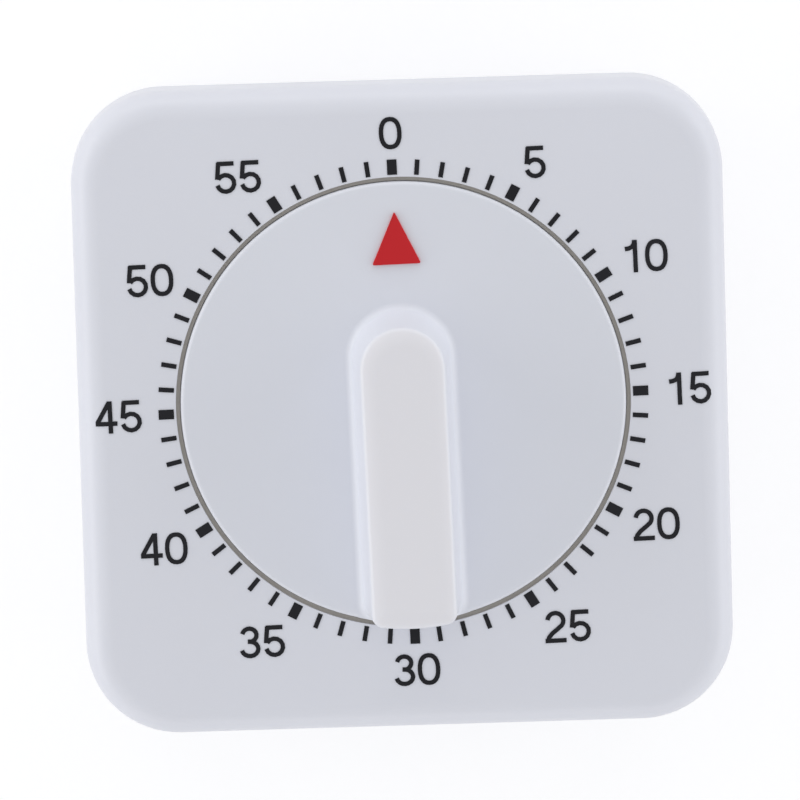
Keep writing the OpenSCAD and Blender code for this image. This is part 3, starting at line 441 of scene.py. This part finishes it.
def finish_of(slot):
    """The material of a slot, made when it is first asked for."""
    name, key, (group, values), strength, depth, shader = FINISHES[slot]
    if name in bpy.data.materials:
        return bpy.data.materials[name]
    finish = bpy.context.scene.timer_finish
    colour = (*getattr(finish, key), 1)
    made = bpy.data.materials.new(name)
    made.use_nodes = True
    made.diffuse_color = colour
    tree = made.node_tree
    bsdf = tree.nodes["Principled BSDF"]
    effect = add_node(tree, "ShaderNodeGroup", (-560, 100), {"Colour": colour, **values},
                      node_tree=group())
    bump = add_node(tree, "ShaderNodeBump", (-260, -200), {
        "Strength": strength, "Distance": depth, "Height": effect.outputs["Height"]})
    base = effect.outputs["Colour"]
    # Painted light and shade: the zone's colour is mixed in over its mask.
    if slot in ZONES:
        mask, zone = ZONES[slot]
        base = add_node(tree, "ShaderNodeMix", (-220, 300), {
            "Factor": mask(tree), "A": base, "B": (*getattr(finish, zone), 1)},
            data_type="RGBA").outputs["Result"]
    tree.links.new(base, bsdf.inputs["Base Color"])
    tree.links.new(effect.outputs["Roughness"], bsdf.inputs["Roughness"])
    tree.links.new(bump.outputs["Normal"], bsdf.inputs["Normal"])
    for label, value in shader.items():
        bsdf.inputs[label].default_value = value
    return made


# Modelling


def clear_selection():
    """Leave nothing selected, so that the next operators act on the new piece alone."""
    bpy.ops.object.select_all(action="DESELECT")


def take(piece):
    """Make a piece the only one selected, and the active one."""
    clear_selection()
    piece.select_set(True)
    bpy.context.view_layer.objects.active = piece


def open_piece(piece):
    """Take a piece and open it in edit mode."""
    take(piece)
    bpy.ops.object.mode_set(mode="EDIT")


def close_piece():
    """Turn all faces outwards and leave edit mode."""
    bpy.ops.mesh.select_all(action="SELECT")
    bpy.ops.mesh.normals_make_consistent(inside=False)
    bpy.ops.object.mode_set(mode="OBJECT")


def settle():
    """Put the place, turn and scale of the active object into its mesh."""
    bpy.ops.object.transform_apply(location=True, rotation=True, scale=True)
    return bpy.context.object


def seat(piece, turn):
    """Turn a piece modelled round the origin and move it onto the dial axis."""
    take(piece)
    piece.location = (*AXIS, 0)
    piece.rotation_euler = (0, 0, turn)
    return settle()


def block(low, high):
    """Block between two opposite corners."""
    clear_selection()
    middle = [(a + b) / 2 for a, b in zip(low, high)]
    size = [b - a for a, b in zip(low, high)]
    bpy.ops.mesh.primitive_cube_add(size=1, location=middle, scale=size)
    return settle()


def rod(at, r, low, high):
    """Upright rod between two heights."""
    clear_selection()
    bpy.ops.mesh.primitive_cylinder_add(
        vertices=ROUND, radius=r, depth=high - low, location=(*at, (low + high) / 2))
    return settle()


def rods(places, r, low, high):
    """Like rods at several places, as one object."""
    return join([rod(at, r, low, high) for at in places])


def pick(kind, test, extend=False):
    """Select the vertices, edges or faces of the open piece that pass a test."""
    bpy.ops.mesh.select_mode(type=kind)
    if not extend:
        bpy.ops.mesh.select_all(action="DESELECT")
    mesh = bpy.context.edit_object.data
    shape = bmesh.from_edit_mesh(mesh)
    rows = {"VERT": shape.verts, "EDGE": shape.edges, "FACE": shape.faces}[kind]
    found = [row for row in rows if test(row)]
    if not found:
        raise RuntimeError("nothing to select on " + mesh.name)
    for row in found:
        row.select_set(True)
    shape.select_flush_mode()
    bmesh.update_edit_mesh(mesh)


def near(a, b):
    """Whether two lengths are the same."""
    return abs(a - b) < NEAR


def at_height(z):
    """Test of an edge or face that lies at one height."""
    return lambda row: all(near(v.co.z, z) for v in row.verts)


def on_ring(r, z, middle=(0, 0)):
    """Test of an edge on a level circle."""
    def test(row):
        reach = [math.hypot(v.co.x - middle[0], v.co.y - middle[1]) for v in row.verts]
        return at_height(z)(row) and all(near(d, r) for d in reach)
    return test


def on_square(core, r, z):
    """Test of an edge on a level square whose round corners have centres at distance core."""
    def test(row):
        gaps = [[max(abs(c) - core, 0) for c in v.co.xy] for v in row.verts]
        return at_height(z)(row) and all(near(math.hypot(*gap), r) for gap in gaps)
    return test


def upright(row):
    """Test of an edge that stands upright."""
    a, b = (v.co for v in row.verts)
    return near(a.x, b.x) and near(a.y, b.y)


def crease_at(z):
    """Test of a sharp edge at one height."""
    return lambda row: at_height(z)(row) and row.is_manifold and row.calc_face_angle() > SHARP


def extrude(rise):
    """Extrude what is selected straight up, or down where the rise is negative."""
    bpy.ops.mesh.extrude_region_move(TRANSFORM_OT_translate={"value": (0, 0, rise)})


def carry_ring(points, middle):
    """Extrude the selected ring through a row of (radius, height) points."""
    for (r, z), (next_r, next_z) in zip(points, points[1:]):
        extrude(next_z - z)
        grow = next_r / r
        bpy.ops.transform.resize(value=(grow, grow, 1), center_override=(*middle, next_z))


def round_edges(size, steps, affect="EDGES"):
    """Round what is selected."""
    bpy.ops.mesh.bevel(
        offset=size, segments=steps, profile=0.5, affect=affect, clamp_overlap=False)


def round_corners(size, steps):
    """Round the selected corners of a flat outline."""
    round_edges(size, steps, affect="VERTICES")


def climb(levels):
    """Inset the selected face through (reach, height) levels, merging corners that close up."""
    for (reach, z), (next_reach, next_z) in zip(levels, levels[1:]):
        bpy.ops.mesh.inset(thickness=reach - next_reach)
        bpy.ops.transform.translate(value=(0, 0, next_z - z))
        bpy.ops.mesh.remove_doubles(threshold=CLOSE)


def arc(middle, r, start, end):
    """Points on an arc, as (reach, height)."""
    steps = [start + (end - start) * i / EDGE_STEPS for i in range(EDGE_STEPS + 1)]
    return [(middle[0] + r * math.cos(a), middle[1] + r * math.sin(a)) for a in steps]


def join(parts):
    """Make several objects one."""
    clear_selection()
    for part in parts:
        part.select_set(True)
    bpy.context.view_layer.objects.active = parts[0]
    bpy.ops.object.join()
    return bpy.context.object


def combine(piece, tool, operation):
    """Join, cut or trim a piece with a tool, which is used up."""
    take(piece)
    change = piece.modifiers.new("combine", "BOOLEAN")
    change.operation = operation
    change.solver = "EXACT"
    change.object = tool
    bpy.ops.object.modifier_apply(modifier=change.name)
    bpy.data.objects.remove(tool)


def finish_piece(piece, name, body, slot, node):
    """Close the mesh, smooth it, and let the piece stand for its node of the frame."""
    piece.name = name
    piece.data.name = name
    open_piece(piece)
    bpy.ops.mesh.select_all(action="SELECT")
    bpy.ops.mesh.remove_doubles(threshold=MERGE)
    close_piece()
    bpy.ops.object.shade_smooth_by_angle(angle=SHARP)
    even = piece.modifiers.new("even", "WEIGHTED_NORMAL")
    even.keep_sharp = True
    bpy.ops.object.modifier_apply(modifier=even.name)
    piece.data.materials.clear()
    piece.data.materials.append(finish_of(slot))
    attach(piece, body)
    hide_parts(node)


# Pieces


def dial_top():
    """Height of the flat of the dial."""
    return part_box("pointer_inlay")[1].z - bpy.context.scene.timer_dial.pointer_proud


def dial_radius():
    """Radius of the rim of the dial."""
    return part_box("dial_knob")[1].x


def lip_radius():
    """Radius of the step round the mouth of the well."""
    scene = bpy.context.scene
    return dial_radius() + scene.timer_dial.gap + scene.timer_case.lip_width


def screw_posts(case):
    """Places of the four posts for the case screws."""
    ways = (-case.post_at, case.post_at)
    return [(x, y) for x in ways for y in ways]


def stop_block(dial, low_z, high_z, turn):
    """Lug or rib of the end stop, turned round the dial axis."""
    middle = dial_radius() - dial.stop_inset
    half_l, half_w = dial.stop_length / 2, dial.stop_width / 2
    made = block((middle - half_l, -half_w, low_z), (middle + half_l, half_w, high_z))
    made.rotation_euler = (0, 0, turn)
    return settle()


class TIMER_OT_front_shell(bpy.types.Operator):
    """Model the front housing: rounded rim, stepped well for the dial, screw posts and bosses"""

    bl_idname = "timer.front_shell"
    bl_label = "Front housing"

    def execute(self, context):
        case = context.scene.timer_case
        dial = context.scene.timer_dial
        low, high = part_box("front_housing")
        inner_z = high.z - case.wall
        well_r = dial_radius() + dial.gap
        lip_r = lip_radius()
        cup_r = well_r + case.well_wall
        lip_z = high.z - case.lip_depth
        well_z = dial_top() - dial.disc - dial.lift
        under_z = well_z - case.well_floor
        core = high.x - case.corner

        shell = block(low, high)
        open_piece(shell)
        pick("EDGE", upright)
        round_edges(case.corner, CORNER_STEPS)
        pick("EDGE", at_height(high.z))
        round_edges(case.front_round, EDGE_STEPS)
        pick("FACE", at_height(low.z))
        bpy.ops.mesh.inset(thickness=case.wall)
        extrude(inner_z - low.z)
        bpy.ops.mesh.delete(type="ONLY_FACE")
        pick("FACE", at_height(high.z))
        bpy.ops.mesh.delete(type="ONLY_FACE")
        bpy.ops.mesh.select_mode(type="EDGE")
        bpy.ops.mesh.primitive_circle_add(
            vertices=ROUND, radius=lip_r, location=(*AXIS, high.z))
        carry_ring([
            (lip_r, high.z), (lip_r, lip_z), (well_r, lip_z), (well_r, well_z),
            (case.hub_hole, well_z), (case.hub_hole, under_z), (cup_r, under_z),
            (cup_r, inner_z)], AXIS)
        for z in (high.z, inner_z):
            pick("EDGE", lambda row: row.is_boundary and at_height(z)(row))
            bpy.ops.mesh.bridge_edge_loops()
        pick("EDGE", on_ring(lip_r, high.z, AXIS))
        pick("EDGE", on_ring(well_r, lip_z, AXIS), extend=True)
        pick("EDGE", on_ring(case.hub_hole, well_z, AXIS), extend=True)
        round_edges(case.lip_round, SMALL_STEPS)
        pick("EDGE", on_square(core, case.corner, low.z))
        round_edges(case.seam_round, SMALL_STEPS)
        close_piece()

        ear_at = cup_r + case.small_bore
        ears = [(AXIS[0] + x * ear_at, AXIS[1] + y * ear_at) for x, y in FOUR_WAYS]
        ear_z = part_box("front_plate")[1].z
        bosses = rods(ears, case.boss_r, ear_z, inner_z + OVER)
        combine(bosses, rod(AXIS, (well_r + cup_r) / 2, ear_z - OVER, high.z), "DIFFERENCE")
        combine(shell, bosses, "UNION")
        posts = screw_posts(case)
        combine(shell, rods(posts, case.post_r, low.z, inner_z + OVER), "UNION")
        bite_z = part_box("case_screws")[1].z + OVER
        combine(shell, rods(posts, case.bite_r, low.z - OVER, bite_z), "DIFFERENCE")
        rib = stop_block(dial, well_z - OVER, well_z + dial.lift - dial.stop_gap, dial.turn)
        combine(shell, seat(rib, 0), "UNION")
        small_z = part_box("movement_screws")[1].z + OVER
        combine(shell, rods(ears, case.small_bore, ear_z - OVER, small_z), "DIFFERENCE")
        finish_piece(shell, "front_shell", "case", "case_plastic", "front_housing")
        return {"FINISHED"}


def sound_slots(case):
    """Cutters for both rows of slots: one is shaped and copied."""
    half_w = case.slot_width / 2
    first_x = AXIS[0] - (case.slot_count - 1) * case.slot_pitch / 2
    first_y = AXIS[1] + case.slot_from
    first = block((first_x - half_w, first_y, -OVER),
                  (first_x + half_w, first_y + case.slot_length, case.rear_floor + OVER))
    open_piece(first)
    pick("EDGE", upright)
    round_edges(SLOT_END * half_w, EDGE_STEPS)
    close_piece()
    slots = [first]
    down = -2 * case.slot_from - case.slot_length
    for row in range(2):
        for i in range(case.slot_count):
            if row or i:
                take(first)
                bpy.ops.object.duplicate()
                bpy.ops.transform.translate(value=(i * case.slot_pitch, row * down, 0))
                slots.append(settle())
    return join(slots)


class TIMER_OT_rear_shell(bpy.types.Operator):
    """Model the rear case: tapered walls, tongue, sound slots, screw posts and bell stand"""

    bl_idname = "timer.rear_shell"
    bl_label = "Rear case"

    def execute(self, context):
        case = context.scene.timer_case
        seam_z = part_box("front_housing")[0].z
        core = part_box("front_housing")[1].x - case.corner
        slope = math.tan(case.rear_taper)
        inset = case.wall / math.cos(case.rear_taper)
        reach = case.corner - case.rear_step
        foot = reach - seam_z * slope
        bend = case.rear_round
        bend_at = foot - bend * (1 - math.sin(case.rear_taper)) / math.cos(case.rear_taper)
        tongue_reach = case.corner - case.wall - case.tongue_gap

        clear_selection()
        bpy.ops.mesh.primitive_plane_add(size=2 * (core + reach), location=(0, 0, seam_z))
        shell = settle()
        open_piece(shell)
        bpy.ops.mesh.select_all(action="SELECT")
        round_corners(reach, CORNER_STEPS)
        pick("FACE", at_height(seam_z))
        climb([(reach, seam_z), *arc((bend_at, bend), bend, -case.rear_taper, -math.pi / 2)])
        pick("EDGE", lambda row: row.is_boundary)
        bpy.ops.mesh.edge_face_add()
        pick("FACE", at_height(seam_z))
        climb([(reach, seam_z), (tongue_reach, seam_z)])
        extrude(case.tongue)
        climb([(tongue_reach, seam_z), (reach - inset, seam_z)])
        extrude(-case.tongue)
        climb([(reach - inset, seam_z), (foot + case.rear_floor * slope - inset, case.rear_floor)])
        close_piece()

        posts = screw_posts(case)
        stand_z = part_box("bell")[0].z
        stands = [rod(at, case.post_r, case.rear_floor / 2, seam_z) for at in posts]
        stands.append(rod(AXIS, case.stand_r, case.rear_floor / 2, stand_z))
        combine(shell, join(stands), "UNION")
        combine(shell, rods(posts, case.well_r, -OVER, case.well_depth), "DIFFERENCE")
        combine(shell, rods(posts, case.pass_r, OVER, seam_z + OVER), "DIFFERENCE")
        bore_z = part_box("bell_screw")[0].z - OVER / 2
        combine(shell, rod(AXIS, case.small_bore, bore_z, stand_z + OVER), "DIFFERENCE")
        combine(shell, sound_slots(case), "DIFFERENCE")
        open_piece(shell)
        pick("EDGE", crease_at(0))
        round_edges(case.slot_round, SMALL_STEPS)
        close_piece()
        finish_piece(shell, "rear_shell", "case", "case_plastic", "rear_case")
        return {"FINISHED"}


def grip_levels(dial, height):
    """Levels of the grip, from below up, as (reach beyond its foot, height above the disc)."""
    lean = dial.grip_draft
    fillet, bend, crown = dial.grip_fillet, dial.grip_round, dial.crown
    fillet_at = fillet * (1 - math.sin(lean)) / math.cos(lean)
    bend_z = height - crown + (crown - bend) * math.sin(dial.crown_from)
    bend_at = -(bend + bend_z * math.sin(lean)) / math.cos(lean)
    crown_at = bend_at - (crown - bend) * math.cos(dial.crown_from)
    return ([(fillet_at + FLARE, -SINK)]
            + arc((fillet_at, fillet), fillet, 1.5 * math.pi, math.pi + lean)
            + arc((bend_at, bend_z), bend, lean, dial.crown_from)
            + arc((crown_at, height - crown), crown, dial.crown_from, math.pi / 2)[1:])


def follow_rim(end_r, end_y, upto):
    """Move the straight end of the grip's outline onto a circle round the dial axis."""
    shape = bmesh.from_edit_mesh(bpy.context.edit_object.data)
    ends = [v.co for v in shape.verts if v.co.y < upto - NEAR]
    for x, y in sorted({(round(end.x, 7), round(end.y, 7)) for end in ends}):
        pick("VERT", lambda row: near(row.co.x, x) and near(row.co.y, y))
        bpy.ops.transform.translate(value=(0, -math.sqrt(end_r ** 2 - x ** 2) - end_y, 0))


def finger_grip(dial, rim_r, top_z, grip_z):
    """The grip: a plan outline climbs through its levels and is trimmed to the rim of the disc."""
    height = grip_z - top_z
    levels = grip_levels(dial, height)
    flare, foot = levels[0]
    lean = math.tan(dial.grip_draft)
    half = dial.grip_width / 2 + height * lean + flare
    end_r = rim_r - SINK + flare
    end_y = -math.sqrt(end_r ** 2 - half ** 2)
    end_round = dial.end_round + height * lean + flare
    far_y = dial.grip_centre + half
    clear_selection()
    bpy.ops.mesh.primitive_plane_add(
        size=1, location=(0, (end_y + far_y) / 2, top_z - dial.disc / 2))
    grip = bpy.context.object
    grip.scale = (2 * half, far_y - end_y, 1)
    settle()
    open_piece(grip)
    pick("VERT", lambda row: row.co.y > 0)
    round_corners(half, CORNER_STEPS)
    bpy.ops.mesh.select_all(action="SELECT")
    bpy.ops.mesh.remove_doubles(threshold=SINK)
    pick("VERT", lambda row: near(row.co.y, end_y))
    round_corners(end_round, EDGE_STEPS)
    pick("EDGE", lambda row: all(near(v.co.y, end_y) for v in row.verts))
    bpy.ops.mesh.subdivide(number_cuts=CORNER_STEPS)
    follow_rim(end_r, end_y, end_y + end_round)
    pick("FACE", lambda row: True)
    extrude(dial.disc / 2 + foot)
    climb([(reach, top_z + z) for reach, z in levels])
    close_piece()
    combine(grip, rod((0, 0), rim_r - SINK, top_z - dial.disc, grip_z + OVER), "INTERSECT")
    return grip


def pointer_prism(dial, low_z, high_z):
    """Three-cornered prism of the pointer, tip away from the dial axis."""
    tip = dial_radius() - dial.pointer_inset
    long = dial.pointer_length / TRIANGLE_HEIGHT
    clear_selection()
    bpy.ops.mesh.primitive_cylinder_add(vertices=3, radius=1, depth=high_z - low_z)
    prism = bpy.context.object
    prism.scale = (dial.pointer_width / TRIANGLE_BASE, long, 1)
    prism.location = (0, tip - long, (low_z + high_z) / 2)
    settle()
    open_piece(prism)
    pick("EDGE", upright)
    round_edges(dial.pointer_round, SMALL_STEPS)
    close_piece()
    return prism


class TIMER_OT_dial_cap(bpy.types.Operator):
    """Model the dial: disc with a rounded rim, hub, hollow grip and pocket for the pointer"""

    bl_idname = "timer.dial_cap"
    bl_label = "Dial"

    def execute(self, context):
        dial = context.scene.timer_dial
        low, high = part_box("dial_knob")
        top_z = dial_top()
        under_z = top_z - dial.disc
        rim_r = dial_radius()

        cap = rod((0, 0), rim_r, under_z, top_z)
        open_piece(cap)
        pick("EDGE", on_ring(rim_r, top_z))
        round_edges(dial.rim_round, RIM_STEPS)
        pick("FACE", at_height(under_z))
        climb([(rim_r, under_z), (dial.hub_r, under_z)])
        extrude(low.z - under_z)
        close_piece()
        combine(cap, finger_grip(dial, rim_r, top_z, high.z), "UNION")

        core_w = dial.grip_width / 2 - dial.grip_wall
        core_from = dial.hub_r + dial.grip_wall
        core_to = rim_r - (high.z - top_z) * math.tan(dial.grip_draft) - 2 * dial.grip_wall
        hollow = block((-core_w, -core_to, under_z - OVER),
                       (core_w, -core_from, high.z - dial.grip_roof))
        combine(cap, hollow, "DIFFERENCE")
        pocket = pointer_prism(dial, top_z - dial.pointer_depth, top_z + OVER)
        combine(cap, pocket, "DIFFERENCE")
        shank_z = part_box("main_arbor")[1].z + OVER
        bore = rod((0, 0), dial.shank_r, low.z - OVER, shank_z)
        flat = block((dial.shank_flat, -dial.hub_r, low.z - 2 * OVER),
                     (dial.hub_r, dial.hub_r, shank_z + OVER))
        combine(bore, flat, "DIFFERENCE")
        combine(cap, bore, "DIFFERENCE")
        lug_z = under_z - dial.lift + dial.stop_gap
        lug = stop_block(dial, lug_z, under_z + OVER, -dial.stop_angle / 2)
        combine(cap, lug, "UNION")
        seat(cap, dial.turn)
        finish_piece(cap, "dial_cap", "dial", "dial_plastic", "dial_knob")
        return {"FINISHED"}


class TIMER_OT_pointer_mark(bpy.types.Operator):
    """Model the red pointer set into the dial"""

    bl_idname = "timer.pointer_mark"
    bl_label = "Pointer"

    def execute(self, context):
        dial = context.scene.timer_dial
        top_z = dial_top()
        mark_z = top_z + dial.pointer_rise
        mark = pointer_prism(dial, top_z - dial.pointer_depth, mark_z)
        open_piece(mark)
        pick("EDGE", at_height(mark_z))
        round_edges(dial.pointer_edge, SMALL_STEPS)
        close_piece()
        seat(mark, dial.turn)
        finish_piece(mark, "pointer_mark", "dial", "pointer_red", "pointer_inlay")
        return {"FINISHED"}


class TIMER_OT_finish_nodes(bpy.types.Operator):
    """Give every piece of the frame the finish of its material slot"""

    bl_idname = "timer.finish_nodes"
    bl_label = "Finish the frame"

    def execute(self, context):
        for row in frame["record"]["subparts"]:
            made = finish_of(row["material_slot"])
            for slot in frame["nodes"][row["node"]].material_slots:
                slot.material = made
        return {"FINISHED"}


# Stage


FLOOR_SIZE = 6
FLOOR_GLOW = 0.56
SKY = (0.98, 0.99, 1, 1)
WHITE = (1, 1, 1, 1)
SENSOR_WIDTH = 36
CLIP = (0.01, 20)

# The four soft boxes: distance, height, size, the point they face, and the power of each.
LAMP_AWAY = 0.62
LAMP_HEIGHT = 0.16
LAMP_SIZE = (0.95, 0.28)
LAMP_AIM = (0, 0, 0.02)
LAMPS = {
    "top_box": ((0, 1), 1.25),
    "left_box": ((-1, 0), 1.7),
    "right_box": ((1, 0), 1.4),
    "low_box": ((0, -1), 0.75),
}


def floor_material(colour):
    """Pale paint that keeps shadows and shows white to the camera and in reflections."""
    made = bpy.data.materials.new("floor_paint")
    made.use_nodes = True
    tree = made.node_tree
    tree.nodes.remove(tree.nodes["Principled BSDF"])
    paint = add_node(tree, "ShaderNodeBsdfDiffuse", (-400, 100), {"Color": (*colour, 1)})
    path = add_node(tree, "ShaderNodeLightPath", (-800, 300)).outputs
    seen = calculate(
        tree, (-600, 300), "MAXIMUM", path["Is Camera Ray"], path["Is Glossy Ray"])
    seen = calculate(tree, (-420, 300), "MAXIMUM", seen, path["Is Transmission Ray"])
    share = calculate(tree, (-240, 300), "MULTIPLY", seen, FLOOR_GLOW)
    glow = add_node(tree, "ShaderNodeEmission", (-400, -60), {"Color": WHITE, "Strength": share})
    both = add_node(tree, "ShaderNodeAddShader", (-160, 60), {
        0: paint.outputs[0], 1: glow.outputs[0]})
    tree.links.new(both.outputs[0], tree.nodes["Material Output"].inputs["Surface"])
    return made


def even_light(fill):
    """Even light from all round, white where the camera sees it."""
    world = bpy.data.worlds.new("studio")
    world.use_nodes = True
    tree = world.node_tree
    back = tree.nodes["Background"].inputs
    back["Color"].default_value = SKY
    path = add_node(tree, "ShaderNodeLightPath", (-800, 300))
    level = add_node(tree, "ShaderNodeMapRange", (-400, 200), {
        "Value": path.outputs["Is Camera Ray"], "To Min": fill, "To Max": 1})
    tree.links.new(level.outputs["Result"], back["Strength"])
    return world


def add_lamp(scene, name, way, power):
    """Soft box on one side of the timer."""
    lamp = bpy.data.lights.new(name, "AREA")
    lamp.shape = "RECTANGLE"
    lamp.size, lamp.size_y = LAMP_SIZE
    lamp.energy = power
    made = bpy.data.objects.new(name, lamp)
    scene.collection.objects.link(made)
    made.location = (LAMP_AWAY * way[0], LAMP_AWAY * way[1], LAMP_HEIGHT)
    aim = Vector(LAMP_AIM) - made.location
    made.rotation_euler = aim.to_track_quat("-Z", "Y").to_euler()


class TIMER_OT_stage(bpy.types.Operator):
    """Set the floor, the lamps, the even light and the camera"""

    bl_idname = "timer.stage"
    bl_label = "Stage"

    def execute(self, context):
        scene = context.scene
        stage = scene.timer_stage
        clear_selection()
        bpy.ops.mesh.primitive_plane_add(size=FLOOR_SIZE, location=(0, 0, -SINK))
        floor = context.object
        floor.name = "floor"
        floor.data.materials.append(floor_material(stage.floor))
        scene.world = even_light(stage.fill)
        for name, (way, power) in LAMPS.items():
            add_lamp(scene, name, way, power)
        camera = bpy.data.cameras.new("photo_camera")
        camera.sensor_width = SENSOR_WIDTH
        camera.lens = stage.lens
        camera.clip_start, camera.clip_end = CLIP
        view = bpy.data.objects.new("photo_camera", camera)
        scene.collection.objects.link(view)
        view.location = stage.camera_at
        view.rotation_euler = stage.camera_turn
        scene.camera = view
        scene.view_settings.view_transform = "Standard"
        return {"FINISHED"}


# Add-on


class TIMER_PT_pieces(bpy.types.Panel):
    """Lists the settings and the pieces of the timer"""

    bl_idname = "TIMER_PT_pieces"
    bl_label = "Minute timer"
    bl_space_type = "VIEW_3D"
    bl_region_type = "UI"
    bl_category = "Timer"

    def draw(self, context):
        for settings in (getattr(context.scene, name) for name in SETTINGS):
            box = self.layout.box()
            for key in settings.__annotations__:
                box.prop(settings, key)
        for step in STEPS:
            self.layout.operator(step.bl_idname)


SETTINGS = {"timer_case": CaseSettings, "timer_dial": DialSettings,
            "timer_finish": FinishSettings, "timer_stage": StageSettings}
STEPS = (TIMER_OT_finish_nodes, TIMER_OT_front_shell, TIMER_OT_rear_shell, TIMER_OT_dial_cap,
         TIMER_OT_pointer_mark, TIMER_OT_stage)


def register():
    for made in (*SETTINGS.values(), *STEPS, TIMER_PT_pieces):
        bpy.utils.register_class(made)
    for name, made in SETTINGS.items():
        setattr(bpy.types.Scene, name, bpy.props.PointerProperty(type=made))


def unregister():
    for name in SETTINGS:
        delattr(bpy.types.Scene, name)
    for made in (TIMER_PT_pieces, *STEPS, *SETTINGS.values()):
        bpy.utils.unregister_class(made)


def main():
    register()
    for step in STEPS:
        getattr(bpy.ops.timer, step.bl_idname.split(".")[1])()


if __name__ == "__main__":
    main()
